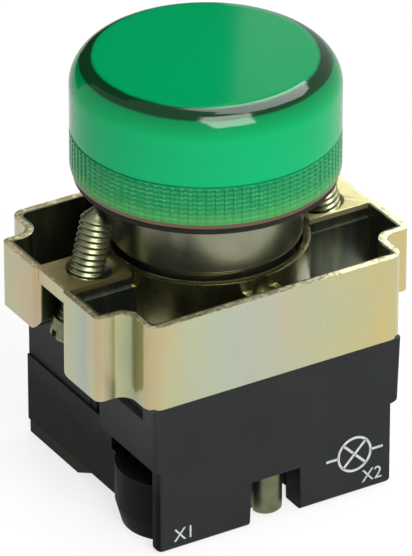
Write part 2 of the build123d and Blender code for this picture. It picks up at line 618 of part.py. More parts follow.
def make_block_screw(row):
    bevel = HEAD_BEVEL
    screw = turned([
        (0, -BLOCK_SCREW_HEAD_FOOT), (BLOCK_SCREW_HEAD_R - bevel, -BLOCK_SCREW_HEAD_FOOT),
        (BLOCK_SCREW_HEAD_R, -BLOCK_SCREW_HEAD_FOOT + bevel), (BLOCK_SCREW_HEAD_R, -BLOCK_SCREW_HEAD_TOP),
        (BLOCK_SCREW_R, -BLOCK_SCREW_HEAD_TOP), (BLOCK_SCREW_R, -BLOCK_SCREW_TOP - THREAD_BEVEL),
        (BLOCK_SCREW_R - THREAD_BEVEL, -BLOCK_SCREW_TOP), (0, -BLOCK_SCREW_TOP),
    ])
    screw -= driver_slot(BLOCK_SCREW_HEAD_R, -BLOCK_SCREW_HEAD_FOOT)
    return Pos(0, row * BLOCK_SCREW_Y, 0) * screw


def cover_front_block():
    """Wide front part of the upper shell: its sides lean in a little and end in a chamfer."""
    top = BLOCK_FRONT_HALF
    low = BLOCK_FRONT_HALF - BLOCK_DRAFT
    foot = low - BLOCK_CHAMFER
    outline = [(-top, -BLOCK_TOP), (top, -BLOCK_TOP), (low, -BLOCK_PARTING + BLOCK_CHAMFER_RISE),
               (foot, -BLOCK_PARTING), (-foot, -BLOCK_PARTING), (-low, -BLOCK_PARTING + BLOCK_CHAMFER_RISE)]
    side = make_face(Polyline(*[(x, -BLOCK_FRONT, z) for x, z in outline], close=True))
    block = extrude(side, BLOCK_FRONT + BLOCK_STEP_Y, dir=(0, 1, 0))
    corners = [e for e in block.edges().filter_by(GeomType.LINE)
               if e.center().Y < -BLOCK_FRONT + NEAR and abs(e.center().X) > low - JOIN]
    return fillet(corners, BLOCK_CORNER)


def notch_ribs(gap):
    """Block behind the apron that the notch cuts into two ribs, larger all round by gap."""
    half = NOTCH_WIDTH / 2 + NOTCH_RIB + gap
    return slab(NOTCH_X - half, NOTCH_X + half, -BLOCK_FRONT + APRON_CORNER,
                -BLOCK_FRONT + NOTCH_RIB_DEPTH + gap,
                -FOOT_DEPTH - gap, -NOTCH_TOP + gap)


def make_cover():
    wall = BLOCK_WALL
    roof = -BLOCK_TOP - BLOCK_ROOF
    cover = cover_front_block()
    cover += slab(-BLOCK_BACK_HALF, BLOCK_BACK_HALF, BLOCK_STEP_Y - JOIN, BLOCK_BACK,
                  -BLOCK_PARTING, -BLOCK_TOP)

    # Front apron down to the feet, with the notch for the screw head
    apron = slab(-APRON_LEFT, APRON_RIGHT, -BLOCK_FRONT, -BLOCK_FRONT + wall, -FOOT_DEPTH,
                 -BLOCK_PARTING + BLOCK_CHAMFER_RISE + JOIN)
    left_edge = [e for e in apron.edges().filter_by(Axis.Z)
                 if e.center().X < 0 and e.center().Y < -BLOCK_FRONT + NEAR]
    apron = fillet(left_edge, APRON_CORNER)
    low_corners = [e for e in apron.edges().filter_by(Axis.Y) if e.center().Z < -FOOT_DEPTH + NEAR]
    apron = fillet(low_corners, APRON_CORNER)
    cover += apron + notch_ribs(0)
    half = NOTCH_WIDTH / 2
    notch = make_face(Polyline(
        (NOTCH_X - half, 0, -NOTCH_TOP), (NOTCH_X + half, 0, -NOTCH_TOP),
        (NOTCH_X + half + NOTCH_FLARE / 2, 0, -FOOT_DEPTH - OVER),
        (NOTCH_X - half - NOTCH_FLARE / 2, 0, -FOOT_DEPTH - OVER),
        close=True))
    cover -= Pos(0, -BLOCK_FRONT - OVER, 0) * extrude(notch, NOTCH_RIB_DEPTH + 2 * OVER, dir=(0, 1, 0))

    # Hollow from below
    cover -= slab(-BLOCK_FRONT_HALF + wall + BLOCK_DRAFT, BLOCK_FRONT_HALF - wall - BLOCK_DRAFT,
                  -BLOCK_FRONT + wall, BLOCK_STEP_Y - wall, -BLOCK_PARTING - OVER, roof)
    cover -= slab(-BLOCK_BACK_HALF + wall, BLOCK_BACK_HALF - wall,
                  BLOCK_STEP_Y - wall - JOIN, BLOCK_BACK - wall, -BLOCK_PARTING - OVER, roof)

    # Turret for the lamp socket, and its sleeve inside
    cover += pillar(TURRET_R, roof, -TURRET_TOP)
    sleeve_r = SOCKET_R + SEAT_GAP
    cover += pillar(sleeve_r + wall, -SOCKET_SLEEVE_FOOT, roof + JOIN)
    cover -= pillar(sleeve_r, -SOCKET_SLEEVE_FOOT - OVER, 0)
    cover -= pillar(TURRET_BORE_R, -TURRET_BORE_DEPTH, 0)

    # Columns for the two block screws
    for row in (-1, 1):
        column_y = row * (BLOCK_SCREW_Y - SCREW_COLUMN_SHIFT)
        cover += pillar(SCREW_COLUMN_R, -BLOCK_PARTING, roof + JOIN, 0, column_y)
        cover -= pillar(BLOCK_SCREW_R + FREE_GAP, -BLOCK_SCREW_HEAD_TOP, -BLOCK_TOP + OVER,
                        0, row * BLOCK_SCREW_Y)

    # Grip recess along the top of each side
    for side in (-1, 1):
        out = side * (BLOCK_FRONT_HALF + OVER)
        inner = side * (BLOCK_FRONT_HALF - RECESS_DEPTH)
        recess_front = -BLOCK_FRONT + RECESS_START
        cover -= slab(min(out, inner), max(out, inner), recess_front, recess_front + RECESS_LENGTH,
                      -BLOCK_TOP - RECESS_HEIGHT, -BLOCK_TOP + OVER)

    # Windows for the lower shell's two latches
    latch_back = LATCH_Y + LATCH_WIDTH / 2 + SEAT_GAP
    latch_front = LATCH_Y - LATCH_WIDTH / 2 - LATCH_ROOM
    cover -= slab(-BLOCK_BACK_HALF - OVER, BLOCK_BACK_HALF + OVER, latch_front, latch_back,
                  -BLOCK_PARTING - OVER, -BLOCK_PARTING + LATCH_RISE + SEAT_GAP)
    return cover


def make_base():
    wall = BLOCK_WALL
    front = -BLOCK_FRONT + wall + SEAT_GAP
    base = slab(-BASE_HALF, BASE_HALF, front, BLOCK_BACK, -BASE_FLOOR, -BASE_TOP)

    # Back foot with its ramp
    root = -BASE_FLOOR + FOOT_ROOT
    ramp_top = FOOT_START - FOOT_RAMP
    foot = make_face(Polyline(
        (0, BLOCK_BACK, root), (0, BLOCK_BACK, -FOOT_DEPTH), (0, FOOT_START, -FOOT_DEPTH),
        (0, ramp_top, -BASE_FLOOR), (0, ramp_top, root), close=True))
    foot_half = BASE_HALF - FOOT_GROOVE
    base += Pos(-foot_half, 0, 0) * extrude(foot, 2 * foot_half, dir=(1, 0, 0))

    # Above the terminals the lower shell is cut back, so that wires can come in from the side
    for side in (-1, 1):
        out = side * (BASE_HALF + OVER)
        inner = side * (TERMINAL_X - TERMINAL_CHAMBER / 2 - wall)
        base -= slab(min(out, inner), max(out, inner), front - OVER, BLOCK_STEP_Y, -TERMINAL_BARREL_TOP, 0)
        barrel = pillar(TERMINAL_BARREL_R, -FOOT_DEPTH + TERMINAL_TAPER, -TERMINAL_BARREL_TOP,
                        side * TERMINAL_X, TERMINAL_Y)
        taper_middle = -FOOT_DEPTH + TERMINAL_TAPER / 2
        barrel += Pos(side * TERMINAL_X, TERMINAL_Y, taper_middle) * Cone(
            TERMINAL_BARREL_FOOT_R, TERMINAL_BARREL_R, TERMINAL_TAPER)
        base += barrel - slab(-BLOCK_FRONT_HALF, BLOCK_FRONT_HALF, front - BLOCK_FRONT, front,
                              -FOOT_DEPTH, -TERMINAL_BARREL_TOP)

    # Room for the socket and the strips
    base -= slab(-BASE_HALF + wall, BASE_HALF - wall, BASE_CAVITY_FRONT, BLOCK_BACK - wall,
                 -BASE_FLOOR + wall, 0)
    shelf_half = TERMINAL_X - TERMINAL_CHAMBER / 2 - wall
    base -= slab(-shelf_half, shelf_half, front + 2 * SCREW_COLUMN_R, BASE_CAVITY_FRONT + OVER,
                 -PLATE_FOOT - SHELF_DEPTH, 0)

    half = TERMINAL_CHAMBER / 2
    for side in (-1, 1):
        x = side * TERMINAL_X
        base -= slab(x - half, x + half, TERMINAL_Y - half, TERMINAL_Y + half, -TERMINAL_CHAMBER_FLOOR, 0)
        base -= pillar(TERMINAL_DRIVER_R, -FOOT_DEPTH - OVER, 0, x, TERMINAL_Y)
        # The strips cross the shelf in a shallow way of their own
        near = side * (SOCKET_R + SEAT_GAP - FREE_GAP)
        far = near + side * (STRIP_WIDTH + 2 * FREE_GAP)
        base -= slab(min(near, far), max(near, far), TERMINAL_Y - STRIP_WIDTH, BASE_CAVITY_FRONT + OVER,
                     -PLATE_FOOT - SEAT_GAP, 0)

    # Channels for the two block screws
    channel = BLOCK_SCREW_HEAD_R + FREE_GAP
    for row in (-1, 1):
        base -= pillar(channel, -FOOT_DEPTH - OVER, 0, 0, row * BLOCK_SCREW_Y)
        edge = row * (BLOCK_BACK + OVER)
        inner = row * (BLOCK_SCREW_Y - NOTCH_BEHIND)
        base -= slab(NOTCH_X - NOTCH_WIDTH / 2, NOTCH_X + NOTCH_WIDTH / 2,
                     min(edge, inner), max(edge, inner), -FOOT_DEPTH - OVER, -NOTCH_TOP)

    # Room for the cover's ribs, then the latches
    base -= notch_ribs(SEAT_GAP)
    for side in (-1, 1):
        low = side * (BLOCK_BACK_HALF - wall)
        high = side * (BLOCK_BACK_HALF - LATCH_INSET)
        base += slab(min(low, high), max(low, high), LATCH_Y - LATCH_WIDTH / 2, LATCH_Y + LATCH_WIDTH / 2,
                     -BASE_TOP - OVER, -BLOCK_PARTING + LATCH_RISE)
    return base


def main():
    os.makedirs("parts", exist_ok=True)
    save(make_collar(), "mounting_collar")
    save(make_head_barrel(), "head_barrel")
    save(make_panel_gasket(), "panel_gasket")
    save(make_lens_cap(), "lens_cap")
    save(make_lens_ring(), "lens_gasket")
    save(make_diffuser(), "light_diffuser")
    save(make_lamp(), "lamp")
    save(make_socket(), "lamp_socket")
    save(make_insulator(), "socket_insulator")
    save(make_contact(), "centre_contact")
    save(make_spring(), "contact_spring")
    save(make_cover(), "block_cover")
    save(make_base(), "block_base")
    for side, word in ((-1, "left"), (1, "right")):
        save(make_clamp_screw(side), "clamp_screw_" + word)
        save(make_terminal_plate(side), "terminal_plate_" + word)
        save(make_terminal_screw(side), "terminal_screw_" + word)
        save(make_wire_clamp(side), "wire_clamp_" + word)
    for row, word in ((-1, "front"), (1, "rear")):
        save(make_block_screw(row), "block_screw_" + word)


main()
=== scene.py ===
# %% [markdown]
# # A panel pilot light, dressed in Blender
# A pilot light is the small signal lamp on the door of a control cabinet. A green lens cap screws on
# to a plated head. A folded steel collar clamps the head to the door with two pointed screws, and a
# black wiring block hangs under the collar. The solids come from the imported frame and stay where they
# are. This script gives them edges, finishes, threads and print, and sets up the camera and the light.

# %% Load the frame
import math

import bmesh
import bpy
import numpy as np
from mathutils import Matrix, Vector


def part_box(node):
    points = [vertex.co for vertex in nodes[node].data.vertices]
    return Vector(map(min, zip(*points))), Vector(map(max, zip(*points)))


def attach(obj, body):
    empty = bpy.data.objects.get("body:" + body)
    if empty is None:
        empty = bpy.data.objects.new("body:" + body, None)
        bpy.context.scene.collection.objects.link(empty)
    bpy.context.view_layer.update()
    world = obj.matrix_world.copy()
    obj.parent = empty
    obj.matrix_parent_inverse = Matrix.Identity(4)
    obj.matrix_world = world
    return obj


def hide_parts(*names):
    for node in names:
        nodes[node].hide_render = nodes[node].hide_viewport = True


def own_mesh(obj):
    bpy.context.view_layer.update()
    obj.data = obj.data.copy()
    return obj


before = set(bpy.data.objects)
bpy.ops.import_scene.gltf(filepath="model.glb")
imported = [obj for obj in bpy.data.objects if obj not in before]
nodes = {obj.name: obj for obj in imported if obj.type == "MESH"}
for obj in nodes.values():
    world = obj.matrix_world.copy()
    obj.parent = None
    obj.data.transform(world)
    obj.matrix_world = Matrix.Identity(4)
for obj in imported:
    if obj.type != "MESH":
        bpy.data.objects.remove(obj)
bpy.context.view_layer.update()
MM = 0.001

# %% [markdown]
# Every height in this script is counted from the collar's rim, as on a workshop drawing, so the first
# thing to read from the frame is where that rim lies. The lens and the barrel share the head's axis,
# which stands on the frame's origin.

# %% Places read from the frame
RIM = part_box("mounting_collar")[1].z
LENS_LOW, LENS_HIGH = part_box("lens_cap")
LENS_R = LENS_HIGH.x
BLOCK_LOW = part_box("block_cover")[0]
print("rim height", round(RIM / MM, 2), "mm, lens radius", round(LENS_R / MM, 2), "mm")


def from_rim(x, y, z):
    """A point given in millimetres from the rim's centre, as a vector in metres."""
    return Vector((x * MM, y * MM, z * MM + RIM))


# %% [markdown]
# ## Camera
# The photograph was taken with a long lens from well above, which is why the collar's long sides look
# almost parallel. A place, two angles and a focal length describe such a view fully. The angles become
# a rotation by building the camera's own three axes and writing them as the columns of a matrix.

# %% A helper for new objects


def linked(name, data):
    """A new object for a mesh, a lamp or a camera, linked into the scene."""
    made = bpy.data.objects.new(name, data)
    bpy.context.scene.collection.objects.link(made)
    return made


# %% Camera at the photograph's viewing angle
VIEW_YAW = math.radians(31.149)
VIEW_PITCH = math.radians(29.507)
CAMERA_PLACE = from_rim(-332.28, -549.80, 357.92)
FOCAL_LENGTH = 431.0
SENSOR = 36.0
sight = Vector((
    math.sin(VIEW_YAW) * math.cos(VIEW_PITCH),
    math.cos(VIEW_YAW) * math.cos(VIEW_PITCH),
    -math.sin(VIEW_PITCH),
))
right = Vector((math.cos(VIEW_YAW), -math.sin(VIEW_YAW), 0.0))
upright = right.cross(sight)
camera_data = bpy.data.cameras.new("photo_camera")
camera_data.lens = FOCAL_LENGTH
camera_data.sensor_width = SENSOR
camera_data.clip_start = 0.05
camera_data.clip_end = 50.0
camera = linked("photo_camera", camera_data)
turn = Matrix((right, upright, -sight)).transposed().to_4x4()
camera.matrix_world = Matrix.Translation(CAMERA_PLACE) @ turn
bpy.context.scene.camera = camera
print("camera is", round((CAMERA_PLACE - from_rim(0, 0, 0)).length, 3), "m from the rim")

# %% [markdown]
# ## Floor and background
# A product like this is shot on white paper that runs up behind it. Here the floor is a pale plane that
# takes the shadow. For rays that come from the camera, from gloss and through glass, the world turns
# pure white and the floor goes three quarters of the way there, so that metal mirrors the same white
# that the eye sees. The light that the world gives stays soft and plain.

# %% Helpers for the studio's nodes


def math_node(tree, operation, first, second=None, third=None):
    """A math node whose inputs are sockets or plain numbers. Returns its output."""
    node = tree.nodes.new("ShaderNodeMath")
    node.operation = operation
    for number, value in enumerate((first, second, third)):
        if value is None:
            continue
        if isinstance(value, (int, float)):
            node.inputs[number].default_value = value
        else:
            tree.links.new(value, node.inputs[number])
    return node.outputs[0]


def white_for_sight(tree):
    """A value that is 1 for rays from the camera, from gloss and through glass, else 0."""
    path = tree.nodes.new("ShaderNodeLightPath")
    seen = math_node(tree, "MAXIMUM", path.outputs["Is Camera Ray"], path.outputs["Is Glossy Ray"])
    return math_node(tree, "MAXIMUM", seen, path.outputs["Is Transmission Ray"])


def grey_shader(tree, kind, grey, strength=None):
    """A simple shader of one grey from 0 to 1, with a strength where it gives light."""
    node = tree.nodes.new(kind)
    node.inputs["Color"].default_value = (grey, grey, grey, 1.0)
    if strength is not None:
        node.inputs["Strength"].default_value = strength
    return node.outputs[0]


def mix_into(tree, output, share, first, second):
    """Links a mix of two shaders to a new output node. It is the first at share 0, the second at 1."""
    choose = tree.nodes.new("ShaderNodeMixShader")
    out = tree.nodes.new(output)
    tree.links.new(share, choose.inputs["Fac"])
    tree.links.new(first, choose.inputs[1])
    tree.links.new(second, choose.inputs[2])
    tree.links.new(choose.outputs[0], out.inputs["Surface"])


# %% World
WORLD_LEVEL = 0.42
scene = bpy.context.scene
scene.view_settings.view_transform = "Standard"
world = bpy.data.worlds.new("studio_world")
scene.world = world
world.use_nodes = True
tree = world.node_tree
tree.nodes.clear()
dim = grey_shader(tree, "ShaderNodeBackground", 1.0, WORLD_LEVEL)
bright = grey_shader(tree, "ShaderNodeBackground", 1.0, 1.0)
mix_into(tree, "ShaderNodeOutputWorld", white_for_sight(tree), dim, bright)
print("world lights at", WORLD_LEVEL)

# %% Floor
FLOOR_HALF = 1.5
PAPER_GREY = 0.82
PAPER_GLOW = 0.75


def flat_sheet(name, corners):
    """One flat sheet of the studio through its four corners."""
    mesh = bpy.data.meshes.new(name)
    mesh.from_pydata(corners, [], [(0, 1, 2, 3)])
    return linked(name, mesh)


signs = ((-1, -1), (1, -1), (1, 1), (-1, 1))
floor = flat_sheet("floor", [(x * FLOOR_HALF, y * FLOOR_HALF, 0) for x, y in signs])
floor_material = bpy.data.materials.new("white_paper")
floor_material.use_nodes = True
tree = floor_material.node_tree
tree.nodes.clear()
paper = grey_shader(tree, "ShaderNodeBsdfDiffuse", PAPER_GREY)
glow = grey_shader(tree, "ShaderNodeEmission", 1.0, 1.0)
share = math_node(tree, "MULTIPLY", white_for_sight(tree), PAPER_GLOW)
mix_into(tree, "ShaderNodeOutputMaterial", share, paper, glow)
floor.data.materials.append(floor_material)
print("floor is", 2 * FLOOR_HALF, "m wide")

# %% [markdown]
# ## Light
# Plastic and plating are lit with large soft panels, because a small lamp draws hard shadows and small
# glaring dots. Three panels only light the part: one high above, one in front, and a weak one at the
# right. Two more are only mirrored, and draw the bright arc on the lens's shoulder and the patch under
# it. With the two jobs apart, each panel can stand where its job needs it.

# %% Light panels


def panel(name, place, size, power, use):
    """A square soft panel at a place in millimetres from the rim, turned towards the rim's centre.

    A panel for "light" only lights, and one for "gloss" is only mirrored.
    """
    data = bpy.data.lights.new(name, "AREA")
    data.shape = "SQUARE"
    data.size = size * MM
    data.energy = power
    lamp = linked(name, data)
    lamp.location = from_rim(*place)
    aim = from_rim(0, 0, 0) - lamp.location
    lamp.rotation_euler = aim.to_track_quat("-Z", "Y").to_euler()
    lamp.visible_glossy = use == "gloss"
    lamp.visible_diffuse = use == "light"
    lamp.visible_transmission = False
    print(name, "stands", round(aim.length, 3), "m from the part")


panel("top_panel", (60, 60, 560), 380, 2.2, "light")
panel("front_panel", (-60, -430, 430), 320, 3.2, "light")
panel("right_panel", (420, -330, 260), 300, 0.4, "light")
panel("shoulder_gloss", (270, 70, 520), 420, 7.5, "gloss")
panel("front_gloss", (-20, -310, 470), 300, 7.0, "gloss")

# %% [markdown]
# A studio keeps a polished top from turning milky by standing a black card where the top would mirror
# the white wall. The card here is seen by gloss alone, so it takes no light away from the part. Its
# upright edge is mirrored across the lens, which splits the top into a deep half and a pale half.

# %% Black card
CARD_AZIMUTHS = np.radians((57.5, 112.0))
CARD_DISTANCE = 700
CARD_FOOT = -25
CARD_TOP = 1000
near, far = CARD_DISTANCE * np.stack([np.cos(CARD_AZIMUTHS), np.sin(CARD_AZIMUTHS)], axis=-1)
card = flat_sheet("black_card", [
    from_rim(*near, CARD_FOOT), from_rim(*far, CARD_FOOT),
    from_rim(*far, CARD_TOP), from_rim(*near, CARD_TOP)])
card.visible_camera = False
card.visible_diffuse = False
card.visible_transmission = False
card.visible_shadow = False
card_material = bpy.data.materials.new("black_velvet")
card_material.use_nodes = True
velvet = card_material.node_tree.nodes["Principled BSDF"]
velvet.inputs["Base Color"].default_value = (0.01, 0.01, 0.01, 1.0)
velvet.inputs["Roughness"].default_value = 1.0
card.data.materials.append(card_material)
print("card spans", round(float(np.linalg.norm(far - near))), "mm")

# %% [markdown]
# ## Edges of the solids
# Nothing real has a perfectly sharp edge: a thin line of light on each edge tells the eye what the
# thing is made of. The solids arrive as loose triangles, so they are welded first. A narrow bevel is
# cut where two faces meet at more than 35 degrees, gentle angles are shaded smooth, and normals
# weighted by area keep the flat faces flat.

# %% A modifier stack for the solids
SHARP_ANGLE = math.radians(35)
WELD = 0.0005 * MM


def smooth_by_angle():
    """A geometry group that shades every face smooth and marks the edges sharper than SHARP_ANGLE."""
    group = bpy.data.node_groups.new("smooth_by_angle", "GeometryNodeTree")
    group.interface.new_socket("Geometry", in_out="INPUT", socket_type="NodeSocketGeometry")
    group.interface.new_socket("Geometry", in_out="OUTPUT", socket_type="NodeSocketGeometry")
    start = group.nodes.new("NodeGroupInput")
    end = group.nodes.new("NodeGroupOutput")
    faces = group.nodes.new("GeometryNodeSetShadeSmooth")
    faces.domain = "FACE"
    edges = group.nodes.new("GeometryNodeSetShadeSmooth")
    edges.domain = "EDGE"
    angle = group.nodes.new("GeometryNodeInputMeshEdgeAngle")
    below = group.nodes.new("FunctionNodeCompare")
    below.data_type = "FLOAT"
    below.operation = "LESS_THAN"
    below.inputs["B"].default_value = SHARP_ANGLE
    group.links.new(start.outputs[0], faces.inputs["Geometry"])
    group.links.new(faces.outputs[0], edges.inputs["Geometry"])
    group.links.new(angle.outputs["Unsigned Angle"], below.inputs["A"])
    group.links.new(below.outputs[0], edges.inputs["Shade Smooth"])
    group.links.new(edges.outputs[0], end.inputs[0])
    return group


SMOOTH = smooth_by_angle()
print("edges over", round(math.degrees(SHARP_ANGLE)), "degrees stay sharp")

# %% The stack as a helper


def soften(piece, width):
    """Welds a piece, rounds its edges by width in millimetres, if any, and shades it smooth."""
    weld = piece.modifiers.new("weld", "WELD")
    weld.merge_threshold = WELD
    if width:
        bevel = piece.modifiers.new("bevel", "BEVEL")
        bevel.width = width * MM
        bevel.segments = 2
        bevel.limit_method = "ANGLE"
        bevel.angle_limit = SHARP_ANGLE
        bevel.use_clamp_overlap = True
        bevel.miter_outer = "MITER_ARC"
    smooth = piece.modifiers.new("smooth", "NODES")
    smooth.node_group = SMOOTH
    weighted = piece.modifiers.new("weighted", "WEIGHTED_NORMAL")
    weighted.keep_sharp = True
    weighted.weight = 90


# %% [markdown]
# ## Surfaces as arrays
# Turned and threaded pieces are easiest to describe with two numbers: how far round, and how far along
# the outline. All the points are worked out at once as one numpy array, rows along the outline and
# columns round the axis, and the faces are the squares between neighbours. Where an outline starts or
# ends on the axis, a whole row would fall on one point, so that row is one vertex with a fan round it.

# %% Grid of points to mesh


def grid_mesh(name, points):
    """A closed turned surface from points[row, column, xyz], whose first and last rows lie on the axis.

    Square (r, c) joins the vertices (r, c), (r, c + 1), (r + 1, c + 1) and (r + 1, c), with the columns
    counted round and round. The two end rows are each one vertex, joined to the next row by a fan.
    """
    rows, columns = points.shape[:2]
    middle = points[1:-1].reshape(-1, 3)
    vertices = np.vstack([points[:1, 0], middle, points[-1:, 0]])
    index = 1 + np.arange((rows - 2) * columns).reshape(rows - 2, columns)
    after = np.roll(index, -1, axis=1)
    squares = np.stack([index[:-1], after[:-1], after[1:], index[1:]], axis=-1).reshape(-1, 4)
    last = len(vertices) - 1
    first_fan = np.stack([np.zeros(columns, int), after[0], index[0]], axis=-1)
    last_fan = np.stack([np.full(columns, last), index[-1], after[-1]], axis=-1)
    mesh = bpy.data.meshes.new(name)
    faces = squares.tolist() + first_fan.tolist() + last_fan.tolist()
    mesh.from_pydata(vertices.tolist(), [], faces)
    mesh.validate()
    piece = linked(name, mesh)
    print(name, "has", len(vertices), "points and", len(mesh.polygons), "faces")
    return piece


def outward(piece):
    """Turns every face of a closed piece outwards."""
    work = bmesh.new()
    work.from_mesh(piece.data)
    bmesh.ops.recalc_face_normals(work, faces=work.faces[:])
    work.to_mesh(piece.data)
    work.free()


# %% [markdown]
# ## Lens cap
# The green cap is one moulding: a slightly domed top with a round shoulder, a smooth wall, and a knurled
# band that fingers grip. It screws on with a thread inside the wall, and since the plastic is clear,
# that thread shows from outside as faint level lines. The cap is turned from an outline that goes down
# the outside, round the foot, and up the inside to the ceiling. The knurl is a dip in the radius that
# depends on the angle, and the thread is a change of radius that depends on the angle and the height
# together. A thin lip at the foot reaches down over the edge of the head's flange.

# %% Outline of the cap, in millimetres
LENS_TOP = (LENS_HIGH.z - RIM) / MM
LENS_FOOT = (LENS_LOW.z - RIM) / MM
CAP_R = LENS_R / MM
SHOULDER = 3.6  # radius of the round between top and wall
DOME = 0.25  # how far the top falls from its middle to the shoulder
KNURL_TOP = LENS_FOOT + 4.1
PARTING = 0.2  # depth of the groove between wall and knurl
LIP = 0.45
SEAT_R = 14.3  # inside, where the cap sits over the flange
THREAD_R = 13.4
BORE_R = 12.2  # inside, over the thread
CEILING = LENS_TOP - 2.2


def arc(centre, radius, start, end, count):
    """Points on a circle in the (r, z) plane: centre plus radius times cosine and sine of the angle."""
    angle = np.radians(np.linspace(start, end, count))
    return np.stack([centre[0] + radius * np.cos(angle), centre[1] + radius * np.sin(angle)], axis=-1)


def run(start, end, count):
    """Evenly spaced points from start to end, without the end."""
    share = np.arange(count)[:, None] / count
    return np.array(start) * (1 - share) + np.array(end) * share


flat_r = CAP_R - SHOULDER
shoulder_z = LENS_TOP - DOME - SHOULDER
top = run((0, LENS_TOP), (flat_r, LENS_TOP - DOME), 14)
top[:, 1] = LENS_TOP - DOME * (top[:, 0] / flat_r) ** 2
cap_outline = np.vstack([
    top,
    arc((flat_r, shoulder_z), SHOULDER, 90, 0, 25),
    run((CAP_R, shoulder_z - 0.4), (CAP_R, KNURL_TOP + 0.15), 4),
    [(CAP_R, KNURL_TOP + 0.15), (CAP_R - PARTING, KNURL_TOP + 0.05),
     (CAP_R - PARTING, KNURL_TOP - 0.05), (CAP_R, KNURL_TOP - 0.15)],
    run((CAP_R, KNURL_TOP - 0.25), (CAP_R, LENS_FOOT + 0.1), 6),
    [(CAP_R, LENS_FOOT - LIP), (CAP_R - 0.1, LENS_FOOT - LIP), (CAP_R - 0.12, LENS_FOOT),
     (SEAT_R + 0.1, LENS_FOOT), (SEAT_R, LENS_FOOT + 0.1),
     (SEAT_R, LENS_FOOT + 1.5), (THREAD_R + 0.2, LENS_FOOT + 1.5)],
    run((THREAD_R, LENS_FOOT + 1.6), (THREAD_R, 14.4), 36),
    [(THREAD_R - 0.1, 14.45), (BORE_R + 0.2, 14.5), (BORE_R, 14.6)],
    run((BORE_R, 14.8), (BORE_R, 19.6), 6),
    [(BORE_R, 19.7), (BORE_R - 0.8, CEILING), (6.0, CEILING), (0, CEILING)],
])
print("outline of the cap has", len(cap_outline), "points")

# %% Turn the cap
KNURLS = 96
KNURL_DEPTH = 0.14
THREAD_PITCH = 0.55
THREAD_DEPTH = 0.1
spacing = 360 / KNURLS
tooth = spacing * np.array([-0.5, -0.3, -0.2, 0.2, 0.3])
dip = np.array([0.0, 0.0, 1.0, 1.0, 0.0])
angle = np.radians((np.arange(KNURLS)[:, None] * spacing + spacing / 2 + tooth).ravel())
groove = np.tile(dip, KNURLS)
r, z = cap_outline[:, :1], cap_outline[:, 1:]
knurled = (r > CAP_R - 0.15) & (z < KNURL_TOP - 0.2) & (z > LENS_FOOT + 0.1)
threaded = (np.abs(r - THREAD_R) < 0.05) & (z > LENS_FOOT + 1.55)
phase = np.abs(((z / THREAD_PITCH - angle / (2 * np.pi)) % 1) * 2 - 1)
radius = r - KNURL_DEPTH * groove * knurled + THREAD_DEPTH * phase * threaded
points = np.stack([radius * np.cos(angle), radius * np.sin(angle), z + 0 * angle], axis=-1)
lens = grid_mesh("green_cap", points * MM + np.array((0.0, 0.0, RIM)))
outward(lens)
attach(lens, "lens_cap")
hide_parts("lens_cap")

# %% [markdown]
# ## Threaded clamp screws
# Two pointed screws lean through the ears of the collar. Tightened, they press against the door from
# behind and pull the head's flange on to it. The solid shows only a smooth rod, so the rod is
# turned again here with its thread. On a thread, the crest climbs as it goes round, so the radius
# depends on height minus pitch times the share of a turn. The head with its driver slot is right as it
# is, so it is copied from the solid and cut free of its rod.

# %% Sizes of the screw, in millimetres
SCREW_X = 15.25  # from the head's axis to where the screw's axis crosses the rim
SCREW_TILT = math.radians(14.5)
SCREW_R = 1.95
SCREW_PITCH = 0.7
SCREW_DEPTH = 0.27
RISE = 7.7  # upright, from the rim to the point
DROP = 8.1  # upright, from the rim to the end of the head
HEAD_LENGTH = 2.3
ROOT = 0.4  # how far the rod reaches into the head
SCREW_TIP = RISE / math.cos(SCREW_TILT)
SCREW_HEAD_TOP = HEAD_LENGTH - DROP / math.cos(SCREW_TILT)
POINT_FALL = np.array((1.9, 1.5, 0.0))  # how far below the tip each of the next radii lies
POINT_RADII = (SCREW_R, 1.5, 0.15)
print("rod is", round(SCREW_TIP - SCREW_HEAD_TOP, 2), "mm long")


def screw_frame(side):
    """The matrix from the screw's own upright axis, in metres, to its place in the frame."""
    lean = Matrix.Rotation(-side * SCREW_TILT, 4, "Y")
    return Matrix.Translation(from_rim(side * SCREW_X, 0, 0)) @ lean


# %% Rod and head


def threaded_rod():
    """Points of the rod: the radius dips by SCREW_DEPTH times half of one less the cosine of a full
    circle times height over pitch less the share of a turn, and never passes the pointed end's cone."""
    low = SCREW_HEAD_TOP - ROOT
    height = np.linspace(low, SCREW_TIP, int((SCREW_TIP - low) / SCREW_PITCH * 10))[:, None]
    turn = np.linspace(0, 2 * np.pi, 40, endpoint=False)[None, :]
    wave = 0.5 - 0.5 * np.cos(2 * np.pi * height / SCREW_PITCH - turn)
    crest = SCREW_R - SCREW_DEPTH * wave
    cone = np.interp(height, SCREW_TIP - POINT_FALL, POINT_RADII)
    radius = np.minimum(crest, cone)
    body = np.stack([radius * np.cos(turn), radius * np.sin(turn), height + 0 * turn], axis=-1)
    ends = np.zeros((2, 1, turn.size, 3))
    ends[0, 0, :, 2] = low
    ends[1, 0, :, 2] = SCREW_TIP
    return np.concatenate([ends[0], body, ends[1]])


